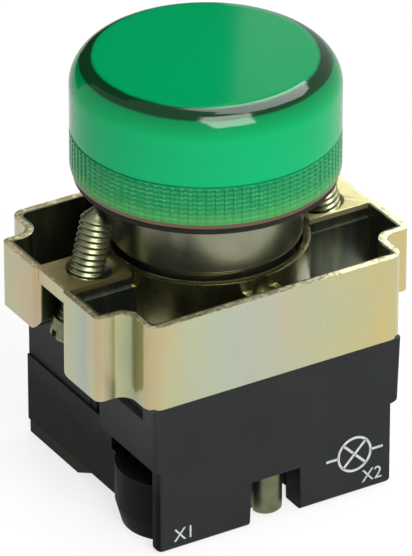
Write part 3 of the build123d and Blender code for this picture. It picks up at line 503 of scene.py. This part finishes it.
def clamp_screw(side, name, node):
    """The threaded rod and a merged copy of the node's head, as one mesh in place."""
    piece = grid_mesh(name, threaded_rod() * MM)
    place = screw_frame(side)
    piece.data.transform(place)
    outward(piece)
    work = bmesh.new()
    work.from_mesh(nodes[node].data)
    bmesh.ops.remove_doubles(work, verts=work.verts[:], dist=WELD)
    cut = place @ Vector((0, 0, (SCREW_HEAD_TOP + 0.02) * MM))
    axis = place.to_3x3() @ Vector((0, 0, 1))
    whole = work.verts[:] + work.edges[:] + work.faces[:]
    bmesh.ops.bisect_plane(work, geom=whole, plane_co=cut, plane_no=axis, clear_outer=True)
    bmesh.ops.holes_fill(work, edges=work.edges[:], sides=0)
    bmesh.ops.recalc_face_normals(work, faces=work.faces[:])
    print(name, "keeps", len(work.faces), "faces of the head")
    work.from_mesh(piece.data)
    work.to_mesh(piece.data)
    work.free()
    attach(piece, node)
    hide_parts(node)
    return piece


screws = [clamp_screw(-1, "threaded_screw_left", "clamp_screw_left"),
          clamp_screw(1, "threaded_screw_right", "clamp_screw_right")]

# %% [markdown]
# ## Spring under the lamp
# The lamp's foot presses on a small plunger, and a coil spring holds the plunger up. The solid of the
# spring keeps its length, so it is wound again here as a tube round a helix.

# %% Wind the spring
SPRING_LOW, SPRING_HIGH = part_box("contact_spring")
SPRING_WIRE = 0.2
SPRING_COILS = 5
COIL_STEPS = 36
WIRE_STEPS = 12


def coiled_tube():
    """Points of the tube: a circle of the wire's radius in the plane of the axis, carried round a
    helix that climbs from foot to head, and closed by its centre point at either end."""
    coil = SPRING_HIGH.x / MM - SPRING_WIRE
    share = np.linspace(0, 1, SPRING_COILS * COIL_STEPS + 1)[:, None]
    turn = 2 * np.pi * SPRING_COILS * share
    around = np.linspace(0, 2 * np.pi, WIRE_STEPS, endpoint=False)[None, :]
    foot, head = SPRING_LOW.z / MM + SPRING_WIRE, SPRING_HIGH.z / MM - SPRING_WIRE
    wire = np.concatenate([[0.0], np.full(share.size, SPRING_WIRE), [0.0]])[:, None]
    turn, share = np.pad(turn, ((1, 1), (0, 0)), "edge"), np.pad(share, ((1, 1), (0, 0)), "edge")
    out = coil + wire * np.cos(around)
    height = foot + (head - foot) * share + wire * np.sin(around)
    return np.stack([out * np.cos(turn), out * np.sin(turn), height], axis=-1)


spring = grid_mesh("coiled_spring", coiled_tube() * MM)
outward(spring)
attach(spring, "root")
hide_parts("contact_spring")
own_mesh(spring)

# %% [markdown]
# ## Print on the block
# The front of a wiring block carries a printed circuit mark and its terminal numbers. The mark here is
# the plain one that any drawing uses for a lamp: a circle with a cross in it, and a lead out of each
# side. X1 and X2 are the usual numbers of a lamp's two terminals. Ink has no thickness to speak of, so
# the strokes stand three hundredths of a millimetre proud.

# %% Helpers for strokes
FRONT = BLOCK_LOW.y / MM
INK = 0.03
LINE = 0.3  # width of a stroke
TYPE_SIZE = 1.38  # size of type over the height of its capitals


def stroke(outline_a, outline_b):
    """A flat band between two rows of (x, z) points, as thick as the ink, closed all round."""
    inner, outer = np.array(outline_a, float), np.array(outline_b, float)
    count = len(inner)
    flat = np.vstack([inner, outer])
    face = np.stack([flat[:, 0], np.full(2 * count, FRONT - INK), flat[:, 1]], axis=-1)
    back = face + np.array((0, 2 * INK, 0))
    vertices = np.vstack([face, back])
    i = np.arange(count - 1)
    a, b = i, i + 1
    front_faces = np.stack([a, b, b + count, a + count], axis=-1)
    back_faces = front_faces[:, ::-1] + 2 * count
    loop = np.concatenate([np.arange(count), np.arange(2 * count - 1, count - 1, -1)])
    after = np.roll(loop, -1)
    sides = np.stack([after, loop, loop + 2 * count, after + 2 * count], axis=-1)
    return vertices, np.vstack([front_faces, back_faces, sides])


def bar(start, end, width):
    """A straight stroke: two rows, half a width to each side of the line from start to end."""
    start, end = np.array(start, float), np.array(end, float)
    aside = np.array([end[1] - start[1], start[0] - end[0]])
    across = aside / np.linalg.norm(end - start) * width / 2
    return stroke([start + across, end + across], [start - across, end - across])


def ring(centre, radius, width):
    """A round stroke: two circles half a width inside and outside the radius, cut open at one place."""
    turn = np.linspace(0, 2 * np.pi, 49)
    circle = np.stack([np.cos(turn), np.sin(turn)], axis=-1)
    return stroke(centre + circle * (radius - width / 2), centre + circle * (radius + width / 2))


# %% Helpers that put ink on the block


def inked(name, mesh):
    """A piece of print, which rides with the block."""
    piece = linked(name, mesh)
    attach(piece, "root")
    print(name, "has", len(mesh.polygons), "faces")
    return piece


def printed(name, strokes):
    """Joins strokes into one mesh on the block's front face."""
    vertices, faces, start = [], [], 0
    for points, squares in strokes:
        vertices.append(points)
        faces.append(squares + start)
        start += len(points)
    mesh = bpy.data.meshes.new(name)
    places = np.vstack(vertices) * MM + np.array((0, 0, RIM))
    mesh.from_pydata(places.tolist(), [], np.vstack(faces).tolist())
    piece = inked(name, mesh)
    outward(piece)
    return piece


def figures(name, words, x, z, height):
    """Plain figures as a mesh, with their lower left corner at (x, z) on the front face."""
    curve = bpy.data.curves.new(name, "FONT")
    curve.body = words
    curve.size = height * TYPE_SIZE * MM
    curve.extrude = INK * MM
    curve.resolution_u = 4
    carrier = bpy.data.objects.new(name + "_outline", curve)
    mesh = bpy.data.meshes.new_from_object(carrier)
    bpy.data.objects.remove(carrier)
    place = Matrix.Translation(from_rim(x, FRONT, z))
    mesh.transform(place @ Matrix.Rotation(math.radians(90), 4, "X"))
    mesh.materials.clear()
    return inked(name, mesh)


# %% Lamp mark and terminal numbers
MARK = np.array((10.0, -23.6))
MARK_R = 2.1
LEAD = 1.6
GAP = 0.2
slant = MARK_R * math.sqrt(0.5)
prints = [
    printed("lamp_mark", [
        ring(MARK, MARK_R, LINE),
        bar(MARK + (-slant, -slant), MARK + (slant, slant), LINE),
        bar(MARK + (-slant, slant), MARK + (-GAP, GAP), LINE),
        bar(MARK + (GAP, -GAP), MARK + (slant, -slant), LINE),
        bar(MARK + (-MARK_R - LEAD, 0), MARK + (-MARK_R, 0), LINE),
        bar(MARK + (MARK_R, 0), MARK + (MARK_R + LEAD, 0), LINE),
    ]),
    figures("number_left", "X1", -13.4, -27.6, 1.6),
    figures("number_right", "X2", 11.0, -27.6, 1.6),
]

# %% [markdown]
# ## Shared effects
# Real finishes are never even. Three effects come back in many of the materials: slow mottling of
# tone, fine moulded or blasted grain, and the streaks that a brush or a drawing die leaves. Two masks
# tell where the collar's finish changes: in its trough, and on its ears. Each of the five is a node
# group that is built once and placed in a material with its own values. Each reads Object
# coordinates, which are metres in the part's own frame.

# %% Helpers for colours and groups


def srgb(red, green, blue):
    """A colour written as 0 to 255 screen values, as the linear values that nodes take."""
    value = np.array([red, green, blue]) / 255.0
    linear = np.where(value <= 0.04045, value / 12.92, ((value + 0.055) / 1.055) ** 2.4)
    return (*[float(c) for c in linear], 1.0)


def effect_group(name, output, **inputs):
    """An empty shader group with one named output and named inputs, all of them plain values."""
    group = bpy.data.node_groups.new(name, "ShaderNodeTree")
    for label, value in inputs.items():
        socket = group.interface.new_socket(label, in_out="INPUT", socket_type="NodeSocketFloat")
        socket.default_value = value
    group.interface.new_socket(output, in_out="OUTPUT", socket_type="NodeSocketFloat")
    return group, group.nodes.new("NodeGroupInput"), group.nodes.new("NodeGroupOutput")


# %% Helpers for places and noise


def object_point(tree, stretch=(1.0, 1.0, 1.0)):
    """Object coordinates in millimetres, each axis multiplied by stretch."""
    coordinate = tree.nodes.new("ShaderNodeTexCoord")
    mapping = tree.nodes.new("ShaderNodeMapping")
    mapping.inputs["Scale"].default_value = [s / MM for s in stretch]
    tree.links.new(coordinate.outputs["Object"], mapping.inputs["Vector"])
    return mapping.outputs["Vector"]


def axes(tree):
    """The outputs X, Y and Z of a point in the frame, in millimetres."""
    parts = tree.nodes.new("ShaderNodeSeparateXYZ")
    tree.links.new(object_point(tree), parts.inputs[0])
    return parts.outputs


def noise(tree, vector, scale, detail=2.0, roughness=0.5):
    """A noise texture's value, with scale a number or a socket."""
    node = tree.nodes.new("ShaderNodeTexNoise")
    node.inputs["Detail"].default_value = detail
    node.inputs["Roughness"].default_value = roughness
    tree.links.new(vector, node.inputs["Vector"])
    if isinstance(scale, (int, float)):
        node.inputs["Scale"].default_value = scale
    else:
        tree.links.new(scale, node.inputs["Scale"])
    return node.outputs["Fac"]


def spread(tree, value, low, high):
    """Stretches a value from 0 to 1 over the numbers from low to high."""
    return math_node(tree, "MULTIPLY_ADD", value, high - low, low)


def held(tree, value, low, high):
    """A value kept between low and high."""
    return math_node(tree, "MINIMUM", math_node(tree, "MAXIMUM", value, low), high)


# %% Effect: mottling
mottle, ins, outs = effect_group("mottling", "Mask", Size=4.0, Contrast=1.0)
scale = math_node(mottle, "DIVIDE", 1.0, ins.outputs["Size"])
cloud = noise(mottle, object_point(mottle), scale, 3.0, 0.55)
centred = math_node(mottle, "SUBTRACT", cloud, 0.5)
lifted = math_node(mottle, "MULTIPLY_ADD", centred, ins.outputs["Contrast"], 0.5)
mottle.links.new(held(mottle, lifted, 0.0, 1.0), outs.inputs["Mask"])

# %% Effect: grain
grain, ins, outs = effect_group("grain", "Height", Size=0.2, Coarse=0.3)
point = object_point(grain)
fine = noise(grain, point, math_node(grain, "DIVIDE", 1.0, ins.outputs["Size"]), 2.0, 0.6)
wide = noise(grain, point, math_node(grain, "DIVIDE", 0.2, ins.outputs["Size"]), 1.0, 0.5)
both = math_node(grain, "MULTIPLY_ADD", wide, ins.outputs["Coarse"], fine)
grain.links.new(both, outs.inputs["Height"])

# %% Effect: streaks that run upright
streaks, ins, outs = effect_group("streaks", "Height", Width=0.15)
scale = math_node(streaks, "DIVIDE", 1.0, ins.outputs["Width"])
lines = noise(streaks, object_point(streaks, (1.0, 1.0, 0.04)), scale, 3.0, 0.6)
streaks.links.new(lines, outs.inputs["Height"])

# %% Effect: the trough inside a cross-shaped collar
pocket, ins, outs = effect_group("trough", "Mask", Length=15.6, Width=14.6, Reach=19.4, Neck=9.8)
at = axes(pocket)
across = math_node(pocket, "ABSOLUTE", at["X"])
along = math_node(pocket, "ABSOLUTE", at["Y"])


def within(x_limit, y_limit):
    """A value that is 1 where both distances are under their limits, else 0."""
    near_x = math_node(pocket, "LESS_THAN", across, ins.outputs[x_limit])
    near_y = math_node(pocket, "LESS_THAN", along, ins.outputs[y_limit])
    return math_node(pocket, "MULTIPLY", near_x, near_y)


either = math_node(pocket, "MAXIMUM", within("Length", "Width"), within("Reach", "Neck"))
pocket.links.new(either, outs.inputs["Mask"])

# %% Effect: the two ears that carry the clamp screws
ear_tops, ins, outs = effect_group("ear_tops", "Mask", Start=11.4, Half=3.4)
at = axes(ear_tops)
across = math_node(ear_tops, "ABSOLUTE", at["X"])
along = math_node(ear_tops, "ABSOLUTE", at["Y"])
outside = math_node(ear_tops, "GREATER_THAN", across, ins.outputs["Start"])
beside = math_node(ear_tops, "LESS_THAN", along, ins.outputs["Half"])
ear_tops.links.new(math_node(ear_tops, "MULTIPLY", outside, beside), outs.inputs["Mask"])
print("shared effects:", [group.name for group in (mottle, grain, streaks, pocket, ear_tops)])

# %% Helpers for a material and its colours


def material(name, metallic=0.0, ior=1.5):
    """A new material with a Principled shader. Returns the material, its tree and the shader."""
    made = bpy.data.materials.new(name)
    made.use_nodes = True
    shader = made.node_tree.nodes["Principled BSDF"]
    shader.inputs["Metallic"].default_value = metallic
    shader.inputs["IOR"].default_value = ior
    return made, made.node_tree, shader


def effect(tree, group, **values):
    """Places an effect group in a material with its own values. Returns its first output."""
    node = tree.nodes.new("ShaderNodeGroup")
    node.node_tree = group
    for label, value in values.items():
        node.inputs[label].default_value = value
    return node.outputs[0]


def ramp(tree, value, stops):
    """A colour ramp through (place, colour) stops. Returns its colour."""
    node = tree.nodes.new("ShaderNodeValToRGB")
    elements = node.color_ramp.elements
    while len(elements) < len(stops):
        elements.new(0.5)
    for element, (place, colour) in zip(elements, sorted(stops)):
        element.position = place
        element.color = colour
    tree.links.new(value, node.inputs["Fac"])
    return node.outputs["Color"]


def clouded(tree, size, contrast, *colours):
    """A colour that wanders through the colours, over patches of size millimetres."""
    places = np.linspace(0, 1, len(colours)).tolist()
    stops = [(place, srgb(*colour)) for place, colour in zip(places, colours)]
    return ramp(tree, effect(tree, mottle, Size=size, Contrast=contrast), stops)


def mixed(tree, share, first, second):
    """A colour that goes from first to second, sockets or colours, as share goes from 0 to 1."""
    node = tree.nodes.new("ShaderNodeMix")
    node.data_type = "RGBA"
    tree.links.new(share, node.inputs["Factor"])
    for number, colour in ((6, first), (7, second)):
        if isinstance(colour, tuple):
            node.inputs[number].default_value = colour
        else:
            tree.links.new(colour, node.inputs[number])
    return node.outputs[2]


def above(tree, height):
    """A value that is 1 above a height in the frame, in millimetres, else 0."""
    return math_node(tree, "GREATER_THAN", axes(tree)["Z"], height)


# %% Helpers for the shader's own inputs


def coat(tree, shader, tint):
    """Feeds the shader a colour that changes over the surface."""
    tree.links.new(tint, shader.inputs["Base Color"])


def uneven(tree, shader, size, low, high):
    """Feeds the shader a roughness that wanders from low to high over patches of size millimetres."""
    rough = spread(tree, effect(tree, mottle, Size=size, Contrast=1.5), low, high)
    tree.links.new(rough, shader.inputs["Roughness"])


def bump(tree, shader, height, distance):
    """Feeds a height, worth distance in millimetres, to the shader's normal."""
    node = tree.nodes.new("ShaderNodeBump")
    node.inputs["Strength"].default_value = 1.0
    node.inputs["Distance"].default_value = distance * MM
    tree.links.new(height, node.inputs["Height"])
    tree.links.new(node.outputs["Normal"], shader.inputs["Normal"])


def wear(made, *pieces):
    """Puts a finished material on pieces, or on nodes that are given by name."""
    for piece in pieces:
        target = nodes[piece] if isinstance(piece, str) else piece
        target.data.materials.clear()
        target.data.materials.append(made)
    print(made.name, "on", len(pieces), "pieces")


# %% [markdown]
# ## Yellow-passivated zinc
# The collar is pressed steel, zinc plated and dipped in a yellow passivate. The film is so thin that
# its colour comes from interference: straw yellow on the flats, with faint pink, green and blue
# where the steel was bent and the film is thinner or thicker. A slow noise stands for the film's
# thickness, and a colour ramp turns thickness into colour. The pattern is stretched along Z, because
# the bands follow the bends, which are upright. Over it lie the stronger colours of the bends, in a
# fixed order from left to right. The left part gets a painted shade that deepens towards its end. The
# trough inside the collar gets a painted shade of darker olive, with upright streaks in it, and the
# ring round the head is drawn smoother and is kept out of that painted shade. The ear tops and the cut
# top edge get painted light that grows from left to right, and the cut edge is also a little rougher
# and browner.

# %% Collar finish: the film on the flats
FILM_LEAN = 0.011  # how much the film thickens per millimetre to the right
zinc, tree, shader = material("passivated_zinc", metallic=1.0)
at = axes(tree)
patches = noise(tree, object_point(tree, (1.0, 1.0, 0.7)), 0.085, 2.0, 0.5)
bands = noise(tree, object_point(tree, (1.0, 1.0, 0.1)), 0.3, 2.0, 0.5)
film = math_node(tree, "MULTIPLY_ADD", patches, 1.3, math_node(tree, "MULTIPLY", bands, 0.7))
film = math_node(tree, "SUBTRACT", film, 0.5)
film = math_node(tree, "MULTIPLY_ADD", at["X"], FILM_LEAN, film)
tint = ramp(tree, film, [
    (0.0, srgb(150, 168, 170)), (0.18, srgb(178, 172, 160)), (0.36, srgb(186, 186, 154)),
    (0.54, srgb(178, 186, 152)), (0.74, srgb(192, 184, 142)), (1.0, srgb(200, 182, 126))])

# %% Collar finish: film colours at the bends
BEND_START = -32  # least X less Y, in millimetres, that has a colour
BEND_SPAN = 66
WOBBLE = 2.4  # how far a band may stray to and fro
BEND_COLOURS = {
    -32: (180, 182, 148), -26: (196, 178, 138), -23: (196, 168, 120), -17: (194, 188, 148),
    -14.5: (176, 184, 160), -12.5: (150, 170, 170), -11: (188, 184, 142), -9.6: (206, 180, 130),
    -8.2: (214, 204, 150), -6.6: (168, 180, 120), -4.6: (120, 136, 100), -2.6: (176, 164, 112),
    -0.6: (206, 176, 126), 1.2: (204, 192, 142), 4: (190, 196, 162), 9: (176, 188, 176),
    15: (186, 184, 170), 21: (188, 188, 148), 28: (204, 186, 124), 34: (192, 190, 146),
}
along = math_node(tree, "SUBTRACT", at["X"], at["Y"])
along = math_node(tree, "ADD", along, -BEND_START - WOBBLE / 2)
wobble = noise(tree, object_point(tree, (1.0, 1.0, 0.4)), 0.3, 2.0, 0.5)
along = math_node(tree, "MULTIPLY_ADD", wobble, WOBBLE, along)
bent = ramp(tree, math_node(tree, "DIVIDE", along, BEND_SPAN), [
    ((place - BEND_START) / BEND_SPAN, srgb(*colour)) for place, colour in BEND_COLOURS.items()])
strength = spread(tree, effect(tree, mottle, Size=7.0, Contrast=1.6), 0.45, 0.8)
tint = mixed(tree, strength, tint, bent)
print("film colours at", len(BEND_COLOURS), "places")

# %% Collar finish: painted shade of the trough and the left part, and the ring
RING_R = 12.0
inside = effect(tree, pocket, Length=15.6, Width=14.6, Reach=19.4, Neck=9.8)
# Painted shade: the collar's left part gets darker towards its left end.
painted_left_shade = held(tree, math_node(tree, "MULTIPLY_ADD", at["X"], -0.018, -0.1), 0.0, 0.25)
tint = mixed(tree, painted_left_shade, tint, srgb(128, 128, 104))
# Painted shade: the trough inside the collar gets a darker olive, with upright streaks in it.
drawn = noise(tree, object_point(tree, (1.0, 1.0, 0.15)), 0.6, 2.0, 0.5)
painted_trough_shade = ramp(tree, drawn, [(0.3, srgb(74, 84, 76)), (0.5, srgb(92, 98, 84)), (0.7, srgb(112, 114, 88))])
tint = mixed(tree, inside, tint, painted_trough_shade)
# The ring round the head is kept out of the trough's painted shade.
from_axis = tree.nodes.new("ShaderNodeVectorMath")
from_axis.operation = "LENGTH"
tree.links.new(object_point(tree, (1.0, 1.0, 0.0)), from_axis.inputs[0])
ring_wall = math_node(tree, "LESS_THAN", from_axis.outputs["Value"], RING_R)
tint = mixed(tree, ring_wall, tint, srgb(140, 137, 98))

# %% Collar finish: ears and cut edge, with painted light towards the right
EAR_REACH = 15
EDGE_SKIN = 0.02  # depth under the rim that counts as its cut edge
EAR_SKIN = 0.6  # depth under the rim that counts as the top of an ear
ear = effect(tree, ear_tops, Start=11.4, Half=3.4)
ear = math_node(tree, "MULTIPLY", ear, inside)
ear = math_node(tree, "MULTIPLY", above(tree, RIM / MM - EAR_SKIN), ear)
# Painted light: the ear tops get lighter from left to right, so the right ear is paler than the left.
painted_ear_light = math_node(tree, "MULTIPLY_ADD", at["X"], 0.5 / EAR_REACH, 0.5)
top = ramp(tree, painted_ear_light, [(0.0, srgb(124, 116, 78)), (1.0, srgb(172, 167, 124))])
tint = mixed(tree, ear, tint, top)
outer = math_node(tree, "SUBTRACT", 1.0, inside)
cut_edge = math_node(tree, "MULTIPLY", above(tree, RIM / MM - EDGE_SKIN), outer)
# The cut edge's burrs as mottling, with painted light that grows towards the right.
burrs_and_painted_light = effect(tree, mottle, Size=0.5, Contrast=2.5)
burrs_and_painted_light = math_node(tree, "MULTIPLY_ADD", at["X"], 0.016, burrs_and_painted_light)
worn_edge_and_painted_light = ramp(tree, burrs_and_painted_light, [(0.25, srgb(122, 114, 86)), (0.85, srgb(180, 177, 148))])
coat(tree, shader, mixed(tree, cut_edge, tint, worn_edge_and_painted_light))

# %% Collar finish: roughness and grain
rough = spread(tree, effect(tree, mottle, Size=3.0, Contrast=1.6), 0.2, 0.3)
for mask, change in ((inside, 0.12), (ring_wall, -0.1), (ear, 0.12), (cut_edge, 0.3)):
    rough = math_node(tree, "MULTIPLY_ADD", mask, change, rough)
tree.links.new(rough, shader.inputs["Roughness"])
bump(tree, shader, effect(tree, grain, Size=0.9, Coarse=0.4), 0.0025)
wear(zinc, "mounting_collar")

# %% [markdown]
# The screws are zinc plated without the yellow dip, so they are cooler. They were turned, then
# threaded, and the crests of the thread are polished by handling.

# %% Screw finish
bright_zinc, tree, shader = material("bright_zinc", metallic=1.0)
coat(tree, shader, clouded(tree, 1.5, 2.0, (92, 96, 72), (110, 113, 90), (124, 122, 88)))
uneven(tree, shader, 0.7, 0.32, 0.44)
bump(tree, shader, effect(tree, grain, Size=0.12, Coarse=0.4), 0.003)
wear(bright_zinc, *screws, spring, "clamp_screw_left", "clamp_screw_right", "terminal_screw_left",
     "terminal_screw_right", "wire_clamp_left", "wire_clamp_right", "block_screw_front",
     "block_screw_rear", "contact_spring")

# %% [markdown]
# The head is a zinc casting under satin nickel. It is darker and browner than the collar, and the
# cast skin still shows as a soft speckle. The flange under the lens is browner still.

# %% Head finish
FLANGE_FOOT = RIM / MM + 8.5
nickel, tree, shader = material("satin_nickel", metallic=1.0)
tint = clouded(tree, 2.5, 1.2, (126, 128, 108), (140, 142, 122), (150, 153, 134))
crown = above(tree, LENS_LOW.z / MM - 0.04)
flange = math_node(tree, "SUBTRACT", above(tree, FLANGE_FOOT), crown)
coat(tree, shader, mixed(tree, flange, tint, srgb(108, 95, 76)))
uneven(tree, shader, 1.5, 0.26, 0.34)
bump(tree, shader, effect(tree, grain, Size=0.5, Coarse=0.9), 0.009)
wear(nickel, "head_barrel")

# %% [markdown]
# Two rings of black rubber seal the head against the door and the cap against the head. Rubber soaks up
# nearly all light and has no polish, so it gets a low gloss and a high roughness.

# %% Rubber of the two seals
rubber, tree, shader = material("black_rubber")
coat(tree, shader, clouded(tree, 1.0, 1.6, (16, 17, 13), (26, 27, 20)))
shader.inputs["Specular IOR Level"].default_value = 0.2
uneven(tree, shader, 0.4, 0.55, 0.75)
bump(tree, shader, effect(tree, grain, Size=0.1, Coarse=0.3), 0.01)
wear(rubber, "panel_gasket", "lens_gasket")

# %% [markdown]
# ## Black wiring block
# The two shells are moulded in black polyamide from a finely spark-eroded tool. The surface is matte
# but not flat: a tight grain breaks up the highlight, and flow in the mould leaves slow, barely
# visible changes of tone. Behind the front wall the sides get a painted shade that darkens towards the
# foot, where a strip is a shade browner and a thin dark line marks it off.

# %% Block finish
STRIP_TOP = BLOCK_LOW.z / MM + 1.65
STRIP_LINE = 0.14
SHADE_FALL = 12  # height over which the sides get darker
SHADE_FOOT = RIM / MM - 22  # height at which they are darkest
polyamide, tree, shader = material("black_polyamide")
tint = clouded(tree, 6.0, 1.5, (35, 38, 37), (41, 44, 43))
at = axes(tree)
# Painted shade: behind the front wall the block gets darker towards the foot.
painted_shade_height = math_node(tree, "MULTIPLY_ADD", at["Z"], 1 / SHADE_FALL, -SHADE_FOOT / SHADE_FALL)
shade = ramp(tree, painted_shade_height, [(0.0, srgb(9, 10, 9)), (1.0, srgb(56, 58, 57))])
beside = math_node(tree, "GREATER_THAN", at["Y"], FRONT + 0.15)
tint = mixed(tree, beside, tint, shade)
behind = math_node(tree, "GREATER_THAN", at["Y"], -9.0)
strip = math_node(tree, "MULTIPLY", behind, math_node(tree, "LESS_THAN", at["Z"], STRIP_TOP))
tint = mixed(tree, strip, tint, srgb(38, 31, 22))
line = math_node(tree, "MULTIPLY", strip, above(tree, STRIP_TOP - STRIP_LINE))
coat(tree, shader, mixed(tree, line, tint, srgb(4, 4, 4)))
shader.inputs["Specular IOR Level"].default_value = 0.07
uneven(tree, shader, 1.0, 0.5, 0.62)
bump(tree, shader, effect(tree, grain, Size=0.09, Coarse=0.4), 0.006)
wear(polyamide, "block_cover", "block_base")

# %% Ink
ink, tree, shader = material("pale_ink")
coat(tree, shader, clouded(tree, 0.5, 2.0, (168, 170, 168), (196, 198, 196)))
uneven(tree, shader, 0.3, 0.5, 0.65)
wear(ink, *prints)

# %% [markdown]
# Inside the block the current runs through strips of bare brass. The lamp and its socket are plated,
# and an insulator of brown phenolic keeps the two sides apart. They show only where the wires go in,
# so each gets a short material: the metals are streaked by drawing, the phenolic is speckled.

# %% Brass, plating and insulator
brass, tree, shader = material("strip_brass", metallic=1.0)
coat(tree, shader, clouded(tree, 2.0, 1.8, (186, 150, 84), (214, 182, 112)))
uneven(tree, shader, 0.8, 0.25, 0.4)
bump(tree, shader, effect(tree, streaks, Width=0.12), 0.004)
wear(brass, "terminal_plate_left", "terminal_plate_right")

plated, tree, shader = material("plated_brass", metallic=1.0)
coat(tree, shader, clouded(tree, 1.5, 1.8, (188, 184, 160), (212, 208, 190)))
uneven(tree, shader, 0.8, 0.18, 0.32)
bump(tree, shader, effect(tree, streaks, Width=0.2), 0.004)
wear(plated, "lamp_socket", "centre_contact", "lamp")

phenolic, tree, shader = material("phenolic")
coat(tree, shader, clouded(tree, 0.9, 2.4, (86, 58, 38), (116, 82, 54)))
uneven(tree, shader, 0.5, 0.4, 0.55)
bump(tree, shader, effect(tree, grain, Size=0.15, Coarse=0.3), 0.006)
wear(phenolic, "socket_insulator")

# %% [markdown]
# ## Green lens and frosted cup
# The cap is green polycarbonate with a polished outside, and a frosted cup close under it spreads the
# lamp's light. Together they look like one body that is full of colour, with the thread and the knurl
# only just showing in it. So the cap lets a part of the light through and scatters the rest. Round
# the shoulder the plastic is seen edge on and throws the light away inside, and that dark ring is
# painted shade in the colour, by height. The outline at both sides gets painted shade by the angle of
# view, and the thread's level lines are painted light. Lower down, by the screwed foot, the colour is
# painted warmer, as painted light of the plated crown shining through.

# %% Lens finish: colour by height, with painted shade and painted light
# Painted shade: the dark ring from 0.91 to 0.965 and the darkening from 0.82 that leads into it. The
# warmer greens at the foot are painted light of the plated crown seen through.
LENS_GREENS_AND_PAINTED_SHADE = {
    0.0: (70, 150, 78), 0.09: (34, 140, 80), 0.3: (10, 132, 80), 0.325: (0, 172, 108),
    0.74: (0, 170, 102), 0.82: (0, 148, 84), 0.9: (0, 120, 66), 0.91: (8, 54, 28),
    0.965: (8, 48, 24), 0.972: (0, 138, 80), 1.0: (0, 140, 82),
}
lens_green, tree, shader = material("lens_green", ior=1.4)
shader.inputs["Transmission Weight"].default_value = 0.2
shader.inputs["Specular IOR Level"].default_value = 0.12
at = axes(tree)
low_z, high_z = LENS_LOW.z / MM, LENS_HIGH.z / MM
height = math_node(tree, "SUBTRACT", at["Z"], low_z)
height = math_node(tree, "DIVIDE", height, high_z - low_z)
drift = spread(tree, effect(tree, mottle, Size=6.0, Contrast=1.0), -0.006, 0.006)
tint = ramp(tree, math_node(tree, "ADD", height, drift), [
    (place, srgb(*colour)) for place, colour in LENS_GREENS_AND_PAINTED_SHADE.items()])
print("lens has", len(LENS_GREENS_AND_PAINTED_SHADE), "colours from foot to top")

# %% Lens finish: painted thread lines and painted shade on the outline
THREADED_SHARE = 0.31  # share of the height through which the thread shows
# Painted light: pale level lines that stand in for the inner thread seen through the plastic.
turns = math_node(tree, "MULTIPLY", at["Z"], 2 * math.pi / THREAD_PITCH)
turns = math_node(tree, "SINE", turns)
lines = math_node(tree, "POWER", math_node(tree, "MULTIPLY_ADD", turns, 0.5, 0.5), 3.0)
lines = math_node(tree, "MULTIPLY", lines, math_node(tree, "LESS_THAN", height, THREADED_SHARE))
faint = spread(tree, effect(tree, mottle, Size=1.2, Contrast=2.5), 0.1, 0.8)
lines = math_node(tree, "MULTIPLY", lines, faint)
tint = mixed(tree, lines, tint, srgb(80, 186, 124))
# Painted shade: the outline darkens where the surface is seen edge on, with the angle of view.
facing = tree.nodes.new("ShaderNodeLayerWeight")
facing.inputs["Blend"].default_value = 0.5
outline = math_node(tree, "MULTIPLY_ADD", facing.outputs["Facing"], 3.2, -2.3)
outline = math_node(tree, "MAXIMUM", outline, 0.0)
coat(tree, shader, mixed(tree, outline, tint, srgb(0, 62, 38)))
uneven(tree, shader, 5.0, 0.05, 0.1)
wear(lens_green, lens, "lens_cap")

# %% Frosted cup
frosted, tree, shader = material("frosted_plastic")
coat(tree, shader, clouded(tree, 3.0, 1.3, (120, 225, 170), (140, 235, 185)))
uneven(tree, shader, 1.0, 0.5, 0.6)
bump(tree, shader, effect(tree, grain, Size=0.2, Coarse=0.3), 0.01)
wear(frosted, "light_diffuser")

# %% [markdown]
# ## Rounding the edges
# Now every solid gets the stack from above. The bigger mouldings have edges a tenth of a millimetre
# wide, small turned parts half of that. Pieces with fine detail of their own are only shaded smooth.

# %% Edges of every solid
SMALL_EDGE = 0.05
EDGE_WIDTH = {
    "mounting_collar": 0.1, "block_cover": 0.1, "block_base": 0.1,
    "head_barrel": 0.08, "panel_gasket": 0.08,
    "lens_cap": 0.0, "light_diffuser": 0.0, "contact_spring": 0.0, "lamp": 0.0,
}
for name, piece in nodes.items():
    soften(piece, EDGE_WIDTH.get(name, SMALL_EDGE))
for piece in (lens, spring, *screws):
    soften(piece, 0.0)
print("edges of", len(nodes), "solids are finished")
